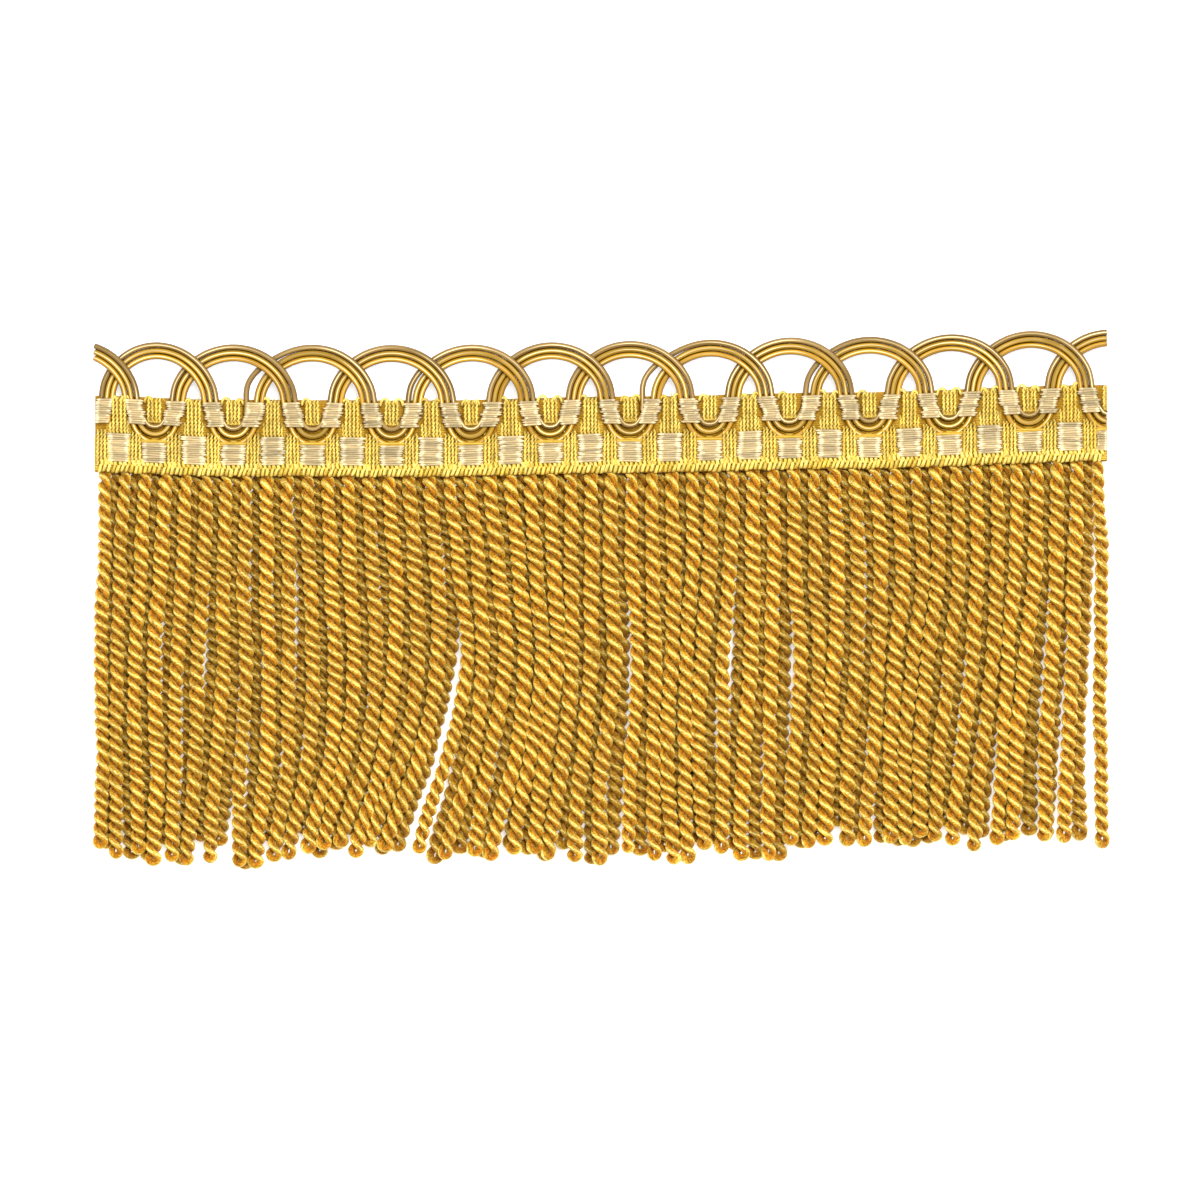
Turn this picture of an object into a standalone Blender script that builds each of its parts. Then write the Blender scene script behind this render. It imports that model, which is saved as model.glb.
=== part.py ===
"""Cord fringe trim, a cut length lying on its back.

X runs along the trim, Y up towards the scalloped edge, and Z out of its face.
The woven heading and its gimp scallops are laid out on a gently bowed line,
the heading's lower edge. Two rows of twisted cords hang from two narrow
strips under that edge. The row at the back lies on the surface, and the
front row lies on it.
"""
import math
import random

import bmesh
import bpy

MM = 0.001

# Driving sizes
LENGTH = 150.0 * MM
SKIRT_LENGTH = 57.0 * MM
CLEARANCE = 0.3 * MM
RIGHT_END = LENGTH / 2
LEFT_END = -LENGTH / 2
CUT_TOLERANCE = 0.01 * MM

# The heading's lower edge: place along the trim, height of the edge there
HEADING_LINE = (
    (-75.0 * MM, 0.7 * MM),
    (-56.0 * MM, 0.1 * MM),
    (-26.0 * MM, 0.0 * MM),
    (4.0 * MM, 0.6 * MM),
    (36.0 * MM, 1.2 * MM),
    (75.0 * MM, 2.3 * MM),
)

# Feet: places where the gimp bundles pass under the floats, counted from the
# left, drawn out a little more towards the right
FOOT_START = -74.93 * MM
FOOT_PITCH = 5.84 * MM
FOOT_GROWTH = 0.0021 * MM
FOOT_LEVEL = 9.0 * MM
OPENING_HALF_WIDTH = 1.75 * MM
FIRST_FOOT_INSET = 0.1 * MM

# A bundle of three gimp cords
GIMP_COUNT = 3
GIMP_WIDTH = 0.8 * MM
BUNDLE_HALF_WIDTH = GIMP_COUNT * GIMP_WIDTH / 2
BUNDLE_BOTTOM = 1.8 * MM
BUNDLE_THICKNESS = 0.9 * MM
BUNDLE_GROOVE = 0.25 * MM
BUNDLE_LIFT = BUNDLE_THICKNESS + CLEARANCE
ARCH_SPAN = 3
ARCH_RISE = 9.1 * MM
TURN_DROP = 2.9 * MM
REPEAT = 4
STUB = 1.6 * MM

# An arch of a bundle: angle in degrees from its right foot, share of the lift
# with which its right leg passes over the next arch
ARCH_STATIONS = (
    (180, 0.0),
    (165, 0.0),
    (150, 0.0),
    (135, 0.0),
    (120, 0.0),
    (105, 0.0),
    (90, 0.0),
    (75, 0.0),
    (60, 1.0),
    (47, 1.0),
    (34, 1.0),
    (18, 0.0),
    (0, 0.0),
)
TURN_STATIONS = (210, 240, 270, 300, 330)

# The heading's levels above the surface it lies on
LEVELS = (0.0, 1.5 * MM, 2.3 * MM, 3.0 * MM, 3.5 * MM)

# The heading's rows from its lower edge up: height of the row's upper edge,
# half-width of a column between feet there as a share of the feet's distance
# or of the room that the legs leave, and the layers between the levels that
# are filled under a foot and between two feet
BY_PITCH = "pitch"
BY_ROOM = "room"
FIRST_EDGE = (BY_PITCH, 0.30)
HEADING_ROWS = (
    (1.3 * MM, (BY_PITCH, 0.30), (2,), (2,)),
    (3.0 * MM, (BY_PITCH, 0.30), (2,), (2, 3)),
    (4.6 * MM, (BY_PITCH, 0.30), (0, 1, 2), (0, 1, 2, 3)),
    (7.75 * MM, (BY_ROOM, 0.5), (0,), (0,)),
    (8.5 * MM, (BY_ROOM, 0.94), (0, 3), (0, 1, 2, 3)),
    (10.9 * MM, (BY_ROOM, 0.94), (0, 3), (0, 1, 2, 3)),
    (11.5 * MM, (BY_ROOM, 0.94), (0,), (0,)),
)
LIP_DEPTH = HEADING_ROWS[1][0]

# The skirt
CORD_WIDTH = 1.95 * MM
CORD_TOP_WIDTH = 1.45 * MM
CORD_HEIGHT = 2.0 * MM
CORD_SPACING = 2.26 * MM
TIP_SHARE = 0.6
SWELL_DEPTH = 2.5 * MM
LOOP_DEPTH = 1.2 * MM
LENGTH_SPREAD = 1.2 * MM
ROUTE_SPREAD = (0.0, 0.25 * MM, 0.35 * MM, 0.45 * MM, 0.6 * MM)
STRIP_OVERHANG = 0.15 * MM
STRIP_SETBACK = 0.4 * MM
STRIP_HEIGHT = LIP_DEPTH - STRIP_SETBACK
FRONT_COUNT = 50
BACK_COUNT = 49

# How the skirt hangs: place of a cord's root, its shift along the trim at a
# quarter, a half, three quarters and the whole of its length, and how much
# shorter it ends
LEAN_DEPTHS = (0.0, 0.25, 0.5, 0.75, 1.0)
LEAN = (
    (-75.0 * MM, 0.0, 0.0, 0.0, 0.0, 0.0),
    (-70.2 * MM, -0.8 * MM, -1.3 * MM, -1.5 * MM, -1.9 * MM, 0.0),
    (-66.0 * MM, -0.8 * MM, -1.7 * MM, -1.7 * MM, -1.5 * MM, -0.5 * MM),
    (-56.0 * MM, -0.3 * MM, -0.7 * MM, -1.4 * MM, -2.0 * MM, -0.2 * MM),
    (-49.0 * MM, 0.2 * MM, 0.3 * MM, -0.4 * MM, -1.5 * MM, -0.4 * MM),
    (-45.0 * MM, 0.6 * MM, 1.0 * MM, 0.2 * MM, -2.2 * MM, 0.3 * MM),
    (-38.0 * MM, 0.6 * MM, 1.0 * MM, 0.0 * MM, -2.2 * MM, 0.8 * MM),
    (-30.0 * MM, 1.0 * MM, 1.2 * MM, -0.5 * MM, -4.5 * MM, 1.4 * MM),
    (-24.0 * MM, 1.5 * MM, 1.7 * MM, -2.0 * MM, -6.6 * MM, 1.2 * MM),
    (-21.5 * MM, 1.2 * MM, 1.2 * MM, -1.6 * MM, -5.9 * MM, 0.4 * MM),
    (-14.0 * MM, 1.4 * MM, 2.0 * MM, 0.4 * MM, -2.6 * MM, 0.7 * MM),
    (-7.0 * MM, 0.4 * MM, 0.6 * MM, -0.7 * MM, -2.6 * MM, 0.3 * MM),
    (-4.0 * MM, 0.0 * MM, -0.2 * MM, -1.5 * MM, -3.2 * MM, 0.0 * MM),
    (1.0 * MM, 0.0 * MM, 0.0 * MM, -1.2 * MM, -1.4 * MM, -0.2 * MM),
    (7.0 * MM, 0.1 * MM, 1.0 * MM, 0.8 * MM, 0.5 * MM, 0.4 * MM),
    (11.0 * MM, 0.2 * MM, -0.3 * MM, -0.3 * MM, 0.0 * MM, 0.0 * MM),
    (17.0 * MM, -0.4 * MM, -1.8 * MM, -2.6 * MM, -2.4 * MM, 0.0 * MM),
    (24.0 * MM, 0.3 * MM, 0.1 * MM, -0.5 * MM, -0.9 * MM, -0.3 * MM),
    (30.0 * MM, 0.3 * MM, 1.0 * MM, 0.5 * MM, 0.0 * MM, 0.2 * MM),
    (35.5 * MM, 0.6 * MM, 0.4 * MM, -0.7 * MM, -1.2 * MM, 1.8 * MM),
    (43.5 * MM, 1.2 * MM, 0.6 * MM, 0.0 * MM, -0.6 * MM, 0.6 * MM),
    (50.5 * MM, 0.8 * MM, -1.2 * MM, -2.9 * MM, -3.8 * MM, 2.4 * MM),
    (57.0 * MM, 0.4 * MM, -0.8 * MM, -2.3 * MM, -3.6 * MM, 1.6 * MM),
    (64.5 * MM, -0.4 * MM, -1.9 * MM, -3.5 * MM, -4.4 * MM, 2.4 * MM),
    (68.5 * MM, -0.4 * MM, -1.2 * MM, -2.7 * MM, -3.1 * MM, 0.0 * MM),
    (72.0 * MM, -0.6 * MM, -1.6 * MM, -2.2 * MM, -2.6 * MM, 0.0 * MM),
    (75.0 * MM, 0.0, 0.0, 0.0, 0.0, 0.0),
)

# Partings of the skirt: place of the parting at the root, how far it opens at
# a quarter, a half, three quarters and the whole of the cords' length
PARTING_REACH = 6.0 * MM
PARTINGS = (
    (-69.0 * MM, 0.0, 0.0, 0.4 * MM, 1.6 * MM),
    (-64.5 * MM, 0.5 * MM, 0.2 * MM, 0.0, 0.0),
    (-57.8 * MM, 0.0, 0.0, 0.0, 1.1 * MM),
    (-52.6 * MM, 0.0, 0.0, 0.1 * MM, 1.1 * MM),
    (-48.6 * MM, 0.0, 0.0, 0.3 * MM, 0.8 * MM),
    (-45.1 * MM, 0.5 * MM, 0.4 * MM, 0.1 * MM, 0.0),
    (-22.7 * MM, 0.3 * MM, 1.7 * MM, 2.3 * MM, 2.0 * MM),
    (-12.0 * MM, 0.0, 0.0, 0.2 * MM, 1.3 * MM),
    (6.2 * MM, 0.0, 0.0, 0.5 * MM, 1.3 * MM),
    (11.5 * MM, 0.0, 0.0, 0.2 * MM, 1.4 * MM),
    (16.8 * MM, 0.2 * MM, 0.6 * MM, 0.3 * MM, 0.0),
    (28.0 * MM, 0.0, 0.5 * MM, 0.3 * MM, 0.4 * MM),
    (35.0 * MM, 0.6 * MM, 0.7 * MM, 0.3 * MM, 0.6 * MM),
    (42.0 * MM, 0.0, 0.0, 0.3 * MM, 1.4 * MM),
    (50.2 * MM, 0.3 * MM, 1.0 * MM, 0.5 * MM, 0.0),
    (60.5 * MM, 0.0, 0.0, 0.1 * MM, 0.9 * MM),
    (72.0 * MM, 0.0, 0.0, 0.6 * MM, 1.3 * MM),
)

# Rows of the skirt: name, count of cords, underside and top of the strip,
# underside of the cords, seed of their unevenness
SKIRT_ROWS = (
    ("skirt_back_row", BACK_COUNT, 0.0, 0.9 * MM, 0.0, 11),
    ("skirt_front_row", FRONT_COUNT, 1.25 * MM, 2.0 * MM, 2.35 * MM, 23),
)

# Finishes: base colour, roughness
YELLOW_BRAID = ((0.78, 0.50, 0.09, 1.0), 0.62)
GOLD_GIMP = ((0.58, 0.33, 0.07, 1.0), 0.38)
GOLD_CORD = ((0.66, 0.36, 0.05, 1.0), 0.45)
METALLIC = 0.0


def blend(low, high, share):
    return low + (high - low) * share


def read_table(table, place):
    """Values of a table's columns at a place, smooth between its rows."""
    if place <= table[0][0]:
        return table[0][1:]
    for low, high in zip(table, table[1:]):
        if place <= high[0]:
            share = (place - low[0]) / (high[0] - low[0])
            share = share * share * (3 - 2 * share)
            return tuple(blend(a, b, share) for a, b in zip(low[1:], high[1:]))
    return table[-1][1:]


def heading_line(x):
    return read_table(HEADING_LINE, x)[0]


def foot(index):
    """Place of a foot along the trim; the first keeps clear of the cut end."""
    x = FOOT_START + FOOT_PITCH * index + FOOT_GROWTH * index * index
    if index == 0:
        x = LEFT_END + BUNDLE_HALF_WIDTH + FIRST_FOOT_INSET
    return x


def foot_count():
    """Feet whose whole bundle lies between the cut ends."""
    count = 0
    while foot(count) + BUNDLE_HALF_WIDTH < RIGHT_END:
        count += 1
    return count


def finish_material(name, finish):
    color, roughness = finish
    material = bpy.data.materials.new(name)
    material.use_nodes = True
    shader = material.node_tree.nodes["Principled BSDF"]
    shader.inputs["Base Color"].default_value = color
    shader.inputs["Roughness"].default_value = roughness
    shader.inputs["Metallic"].default_value = METALLIC
    return material


def make_object(name, bm, material):
    """Close a bmesh into a named object with its faces pointing out."""
    bmesh.ops.recalc_face_normals(bm, faces=bm.faces)
    mesh = bpy.data.meshes.new(name)
    bm.to_mesh(mesh)
    bm.free()
    mesh.materials.append(material)
    obj = bpy.data.objects.new(name, mesh)
    bpy.context.collection.objects.link(obj)
    return obj


def add_ring(bm, points):
    return [bm.verts.new(point) for point in points]


def join_rings(bm, first, second, open_side=None):
    """Walls between two rings of points, but for one side left open."""
    count = len(first)
    for side in range(count):
        if side == open_side:
            continue
        after = (side + 1) % count
        bm.faces.new((first[side], first[after], second[after], second[side]))


# The woven heading

def column_lines(index_row):
    """Places of the columns' edges along one row line of the heading."""
    kind, share = FIRST_EDGE if index_row == 0 else HEADING_ROWS[index_row - 1][1]
    lines = [LEFT_END]
    for index in range(foot_count()):
        middle = (foot(index) + foot(index + 1)) / 2
        half_gap = (foot(index + 1) - foot(index)) / 2
        if kind == BY_PITCH:
            half_width = 2 * half_gap * share
        else:
            half_width = (half_gap - OPENING_HALF_WIDTH) * share
        lines += [middle - half_width, middle + half_width]
    return [x for x in lines if x < RIGHT_END] + [RIGHT_END]


def heading_layers(row, column):
    """Layers that are filled in one cell; even columns hold a foot."""
    if row < 0 or row >= len(HEADING_ROWS):
        return ()
    under_foot, between_feet = HEADING_ROWS[row][2:]
    return between_feet if column % 2 else under_foot


def make_heading(material):
    """Stepped block: each cell's layers are walled off from empty cells."""
    bm = bmesh.new()
    rows = len(HEADING_ROWS)
    heights = [0.0] + [row[0] for row in HEADING_ROWS]
    lines = [column_lines(index) for index in range(rows + 1)]
    columns = len(lines[0]) - 1
    corners = {}

    def corner(column, row, level):
        key = (column, row, level)
        if key not in corners:
            x = lines[row][column]
            y = heading_line(x) + heights[row]
            corners[key] = bm.verts.new((x, y, LEVELS[level]))
        return corners[key]

    def filled(column, row, layer):
        inside = 0 <= column < columns
        return inside and layer in heading_layers(row, column)

    def wall(keys):
        bm.faces.new([corner(*key) for key in keys])

    for column in range(columns):
        for row in range(rows):
            for layer in heading_layers(row, column):
                c, r, z = column, row, layer
                if not filled(c, r, z - 1):
                    wall(((c, r, z), (c, r + 1, z), (c + 1, r + 1, z), (c + 1, r, z)))
                if not filled(c, r, z + 1):
                    t = z + 1
                    wall(((c, r, t), (c + 1, r, t), (c + 1, r + 1, t), (c, r + 1, t)))
                if not filled(c - 1, r, z):
                    wall(((c, r, z), (c, r, z + 1), (c, r + 1, z + 1), (c, r + 1, z)))
                if not filled(c + 1, r, z):
                    e = c + 1
                    wall(((e, r, z), (e, r + 1, z), (e, r + 1, z + 1), (e, r, z + 1)))
                if not filled(c, r - 1, z):
                    wall(((c, r, z), (c + 1, r, z), (c + 1, r, z + 1), (c, r, z + 1)))
                if not filled(c, r + 1, z):
                    b = r + 1
                    wall(((c, b, z), (c, b, z + 1), (c + 1, b, z + 1), (c + 1, b, z)))
    return make_object("heading_band", bm, material)


# The scallops

def arch_points(first_foot):
    """Left to right over an arch: place, height, heading of travel, lift."""
    left, right = foot(first_foot), foot(first_foot + ARCH_SPAN)
    centre, half_span = (left + right) / 2, (right - left) / 2
    points = []
    for degrees, lift in ARCH_STATIONS:
        angle = math.radians(degrees)
        x = centre + half_span * math.cos(angle)
        height = FOOT_LEVEL + ARCH_RISE * math.sin(angle)
        travel = math.atan2(-ARCH_RISE * math.cos(angle), half_span * math.sin(angle))
        points.append((x, height, travel, lift))
    return points


def turn_points(first_foot):
    """Left to right through the small turn between two feet."""
    left, right = foot(first_foot), foot(first_foot + 1)
    centre, radius = (left + right) / 2, (right - left) / 2
    points = []
    for degrees in TURN_STATIONS:
        angle = math.radians(degrees)
        x = centre + radius * math.cos(angle)
        height = FOOT_LEVEL + TURN_DROP * math.sin(angle)
        travel = math.atan2(TURN_DROP * math.cos(angle), -radius * math.sin(angle))
        points.append((x, height, travel, 0.0))
    return points


def clipped(points):
    """The part of a route that lies between the trim's two cut ends."""
    kept = [points[0]] if LEFT_END < points[0][0] < RIGHT_END else []
    for low, high in zip(points, points[1:]):
        for edge in (LEFT_END, RIGHT_END):
            if low[0] < edge < high[0]:
                share = (edge - low[0]) / (high[0] - low[0])
                kept.append(tuple(blend(a, b, share) for a, b in zip(low, high)))
        if LEFT_END < high[0] < RIGHT_END:
            kept.append(high)
    return kept


def bundle_section():
    """Flat underside and three ridges: distance from the middle, height."""
    crest = BUNDLE_THICKNESS
    section = [(BUNDLE_HALF_WIDTH, 0.0)]
    for index in reversed(range(GIMP_COUNT)):
        middle = (index - (GIMP_COUNT - 1) / 2) * GIMP_WIDTH
        section.append((middle, crest))
        if index:
            section.append((middle - GIMP_WIDTH / 2, crest - BUNDLE_GROOVE))
    section.append((-BUNDLE_HALF_WIDTH, 0.0))
    return section


def bundle_ring(bm, station):
    """The section set square across the route, or along a cut end."""
    x, height, travel, lift = station
    along = (math.cos(travel), math.sin(travel))
    across = (-along[1], along[0])
    at_cut = min(abs(x - LEFT_END), abs(x - RIGHT_END)) < CUT_TOLERANCE
    points = []
    for offset, level in bundle_section():
        slide = -across[0] * offset / along[0] if at_cut else 0.0
        px = x + across[0] * offset + along[0] * slide
        py = height + across[1] * offset + along[1] * slide
        pz = BUNDLE_BOTTOM + lift * BUNDLE_LIFT + level
        points.append((px, heading_line(px) + py, pz))
    return add_ring(bm, points)


def make_bundle(name, first_foot, material):
    """A bundle that arches from every fourth foot, between the cut ends."""
    points = []
    if first_foot == 0:
        points.append((foot(0), FOOT_LEVEL - STUB, math.pi / 2, 0.0))
        points.append((foot(0), FOOT_LEVEL - STUB / 2, math.pi / 2, 0.0))
    index = first_foot
    while foot(index) < RIGHT_END:
        points += arch_points(index)
        points += turn_points(index + ARCH_SPAN)
        index += REPEAT
    bm = bmesh.new()
    rings = [bundle_ring(bm, station) for station in clipped(points)]
    for low, high in zip(rings, rings[1:]):
        join_rings(bm, low, high)
    bm.faces.new(rings[0])
    bm.faces.new(reversed(rings[-1]))
    return make_object(name, bm, material)


# The skirt

def pushed_right(places):
    """Push crowded cords to the right, and back from the trim's right end."""
    half = CORD_WIDTH / 2
    low = LEFT_END + half
    placed = []
    for x in places:
        low = max(low, x)
        placed.append(low)
        low += CORD_SPACING
    high = RIGHT_END - half
    for index in reversed(range(len(placed))):
        placed[index] = min(placed[index], high)
        high = placed[index] - CORD_SPACING
    return placed


def spaced_out(places):
    """Keep neighbouring cords a full spacing apart, pushing both ways alike."""
    rightward = pushed_right(places)
    leftward = [-x for x in reversed(pushed_right([-x for x in reversed(places)]))]
    return [(a + b) / 2 for a, b in zip(rightward, leftward)]


def parting_push(root, depth):
    """How far the partings push a cord aside at one of the lean's depths."""
    push = 0.0
    for row in PARTINGS:
        distance = root - row[0]
        fade = math.exp(-abs(distance) / PARTING_REACH)
        push += math.copysign(row[depth] / 2 * fade, distance)
    return push


def row_routes(count, seed):
    """Places of a row's cords at each depth of the lean table, and lengths."""
    chance = random.Random(seed)
    pitch = LENGTH / max(FRONT_COUNT, BACK_COUNT)
    roots = [(index - (count - 1) / 2) * pitch for index in range(count)]
    leans = [read_table(LEAN, root) for root in roots]
    levels = [roots]
    for depth in range(1, len(LEAN_DEPTHS)):
        spread = ROUTE_SPREAD[depth]
        wanted = [
            root
            + lean[depth - 1]
            + parting_push(root, depth)
            + chance.uniform(-spread, spread)
            for root, lean in zip(roots, leans)
        ]
        levels.append(spaced_out(wanted))
    lengths = [
        SKIRT_LENGTH - lean[-1] + chance.uniform(-LENGTH_SPREAD, LENGTH_SPREAD)
        for lean in leans
    ]
    return list(zip(*levels)), lengths


def route_place(route, share):
    """Place along the trim at a share of a cord's length, on a soft curve."""
    last = len(LEAN_DEPTHS) - 1
    step = min(int(share * last), last - 1)
    part = share * last - step
    before = route[max(step - 1, 0)]
    low, high = route[step], route[step + 1]
    after = route[min(step + 2, last)]
    rise_low, rise_high = (high - before) / 2, (after - low) / 2
    square, cube = part * part, part * part * part
    return (
        low * (2 * cube - 3 * square + 1)
        + rise_low * (cube - 2 * square + part)
        + high * (3 * square - 2 * cube)
        + rise_high * (cube - square)
    )


def cord_rings(route, length, root_y, bottom):
    """Rings down a cord: full width below the root, drawn in at its tip."""
    rings = []
    swell = SWELL_DEPTH / length
    loop = 1 - LOOP_DEPTH / length
    for share in (swell, *LEAN_DEPTHS[1:-1], loop, 1.0):
        x = route_place(route, share)
        y = root_y - share * length
        size = TIP_SHARE if share == 1.0 else 1.0
        half_low = CORD_WIDTH / 2 * size
        half_top = CORD_TOP_WIDTH / 2 * size
        top = bottom + CORD_HEIGHT * size
        rings.append((
            (x - half_low, y, bottom),
            (x + half_low, y, bottom),
            (x + half_top, y, top),
            (x - half_top, y, top),
        ))
    return rings


def make_skirt_row(name, count, low, high, bottom, seed, material):
    """A strip with its cords drawn out of its lower side."""
    bm = bmesh.new()
    routes, lengths = row_routes(count, seed)
    edges = [LEFT_END]
    for route in routes:
        edges += [route[0] - CORD_WIDTH / 2, route[0] + CORD_WIDTH / 2]
    edges.append(RIGHT_END)
    slices = []
    for x in edges:
        y = heading_line(x)
        slices.append(add_ring(bm, (
            (x, y - STRIP_OVERHANG, low),
            (x, y + STRIP_HEIGHT, low),
            (x, y + STRIP_HEIGHT, high),
            (x, y - STRIP_OVERHANG, high),
        )))
    lower_side = 3
    for index, (left, right) in enumerate(zip(slices, slices[1:])):
        if index % 2 == 0:
            join_rings(bm, left, right)
            continue
        join_rings(bm, left, right, open_side=lower_side)
        cord = index // 2
        ring = [left[0], right[0], right[3], left[3]]
        root_y = heading_line(routes[cord][0]) - STRIP_OVERHANG
        for points in cord_rings(routes[cord], lengths[cord], root_y, bottom):
            following = add_ring(bm, points)
            join_rings(bm, ring, following)
            ring = following
        bm.faces.new(ring)
    bm.faces.new(slices[0])
    bm.faces.new(reversed(slices[-1]))
    return make_object(name, bm, material)


def centre_on_origin(objects):
    """Slide the whole trim so that its box is centred over the origin."""
    heights = [vertex.co.y for obj in objects for vertex in obj.data.vertices]
    middle = (min(heights) + max(heights)) / 2
    for obj in objects:
        for vertex in obj.data.vertices:
            vertex.co.y -= middle


def main():
    for obj in list(bpy.data.objects):
        bpy.data.objects.remove(obj, do_unlink=True)
    braid = finish_material("yellow_braid", YELLOW_BRAID)
    gimp = finish_material("gold_gimp", GOLD_GIMP)
    cord = finish_material("gold_cord", GOLD_CORD)
    objects = [
        make_heading(braid),
        make_bundle("scallop_gimp_odd", 0, gimp),
        make_bundle("scallop_gimp_even", -ARCH_SPAN + 1, gimp),
    ]
    for name, count, low, high, bottom, seed in SKIRT_ROWS:
        objects.append(make_skirt_row(name, count, low, high, bottom, seed, cord))
    centre_on_origin(objects)


main()
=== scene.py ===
"""Cord fringe trim: its yarns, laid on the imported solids.

X runs along the trim, Y up towards the scalloped edge, and Z out of its face.
Heights in the heading are measured from its lower edge, a gently bowed line.
Every yarn is a copy of a short straight master, whose length runs along X,
and which is bent onto the yarn's own route.
"""
import math
import random
from dataclasses import dataclass

import bmesh
import bpy
import numpy as np
from mathutils import Matrix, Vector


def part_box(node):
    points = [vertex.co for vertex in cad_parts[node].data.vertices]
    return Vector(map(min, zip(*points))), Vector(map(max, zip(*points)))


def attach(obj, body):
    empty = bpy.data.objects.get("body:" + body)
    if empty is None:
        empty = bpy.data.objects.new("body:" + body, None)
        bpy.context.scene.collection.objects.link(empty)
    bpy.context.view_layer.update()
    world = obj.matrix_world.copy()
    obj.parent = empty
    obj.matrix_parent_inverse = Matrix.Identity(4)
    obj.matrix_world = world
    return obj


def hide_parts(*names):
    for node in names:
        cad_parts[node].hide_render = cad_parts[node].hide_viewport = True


bl_info = {
    "name": "Cord Fringe Trim",
    "version": (1, 0, 0),
    "blender": (4, 5, 0),
    "location": "View3D > Sidebar > Fringe",
    "description": "Builds the yarns of a woven heading, its scallops and its twisted cord skirt",
    "category": "Object",
}

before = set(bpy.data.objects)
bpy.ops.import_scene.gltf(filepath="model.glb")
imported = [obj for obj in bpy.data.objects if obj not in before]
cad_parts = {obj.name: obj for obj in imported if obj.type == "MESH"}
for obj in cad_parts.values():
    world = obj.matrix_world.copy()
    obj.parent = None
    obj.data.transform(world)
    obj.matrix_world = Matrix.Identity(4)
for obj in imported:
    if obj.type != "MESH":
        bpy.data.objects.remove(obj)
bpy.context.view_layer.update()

MM = 0.001
BODY = "root"
BRAID_SLOT = "yellow_braid"
GIMP_SLOT = "gold_gimp"
CORD_SLOT = "gold_cord"

# Driving sizes, repeated from the solids
LENGTH = 150.0 * MM
SKIRT_LENGTH = 57.0 * MM
LEFT_END = -LENGTH / 2
RIGHT_END = LENGTH / 2
HEADING_HEIGHT = 11.5 * MM
BASE_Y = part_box("heading_band")[0][1]

# The heading's lower edge: place along the trim, height of the edge there
HEADING_LINE = np.array((
    (-75.0, 0.7), (-56.0, 0.1), (-26.0, 0.0), (4.0, 0.6), (36.0, 1.2), (75.0, 2.3),
)) * MM

# Feet: places where the gimps pass under the floats
FOOT_START = -74.93 * MM
FOOT_PITCH = 5.84 * MM
FOOT_GROWTH = 0.0021 * MM
FIRST_FOOT = LEFT_END + 1.3 * MM
FOOT_LEVEL = 9.0 * MM
FOOT_COUNT = 26

# The scallops
GIMP_COUNT = 3
ARCH_SPAN = 3
ARCH_RISE = 9.1 * MM
TURN_DROP = 3.3 * MM
REPEAT = 4
STUB = 1.8 * MM
GIMP_LEVEL = 2.25 * MM
GIMP_LIFT = 1.05 * MM
LIFT_STARTS = (78.0, 58.0)
LIFT_ENDS = (34.0, 14.0)
ANGLE_STEP = 5
GIMP_RINGS = 440
GIMP_SIDES = 12
END_MARGIN = 0.04 * MM

# How far the three gimps of a bundle spread: progress through a repeat (0 at
# the left foot, 1 at the right foot, 1.5 past the turn), share of a gimp
GIMP_SPREAD = (
    (0.0, 0.92),
    (0.14, 0.98),
    (0.38, 1.0),
    (0.8, 1.0),
    (0.92, 1.04),
    (1.0, 0.92),
    (1.12, 1.2),
    (1.25, 1.34),
    (1.38, 1.2),
    (1.5, 0.92),
)
# Arches whose outermost gimp strays at its left leg: first foot, how far
STRAYS = {4: 0.95 * MM, 14: 1.05 * MM, 8: 0.25 * MM, 18: 0.35 * MM}
# How much the legs of a bundle slant at their feet, and over what height
LEG_SLANT = 0.34
SLANT_HEIGHT = 2.3 * MM
STRAY_PEAK = 0.13
STRAY_WIDTH = 0.13

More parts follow.
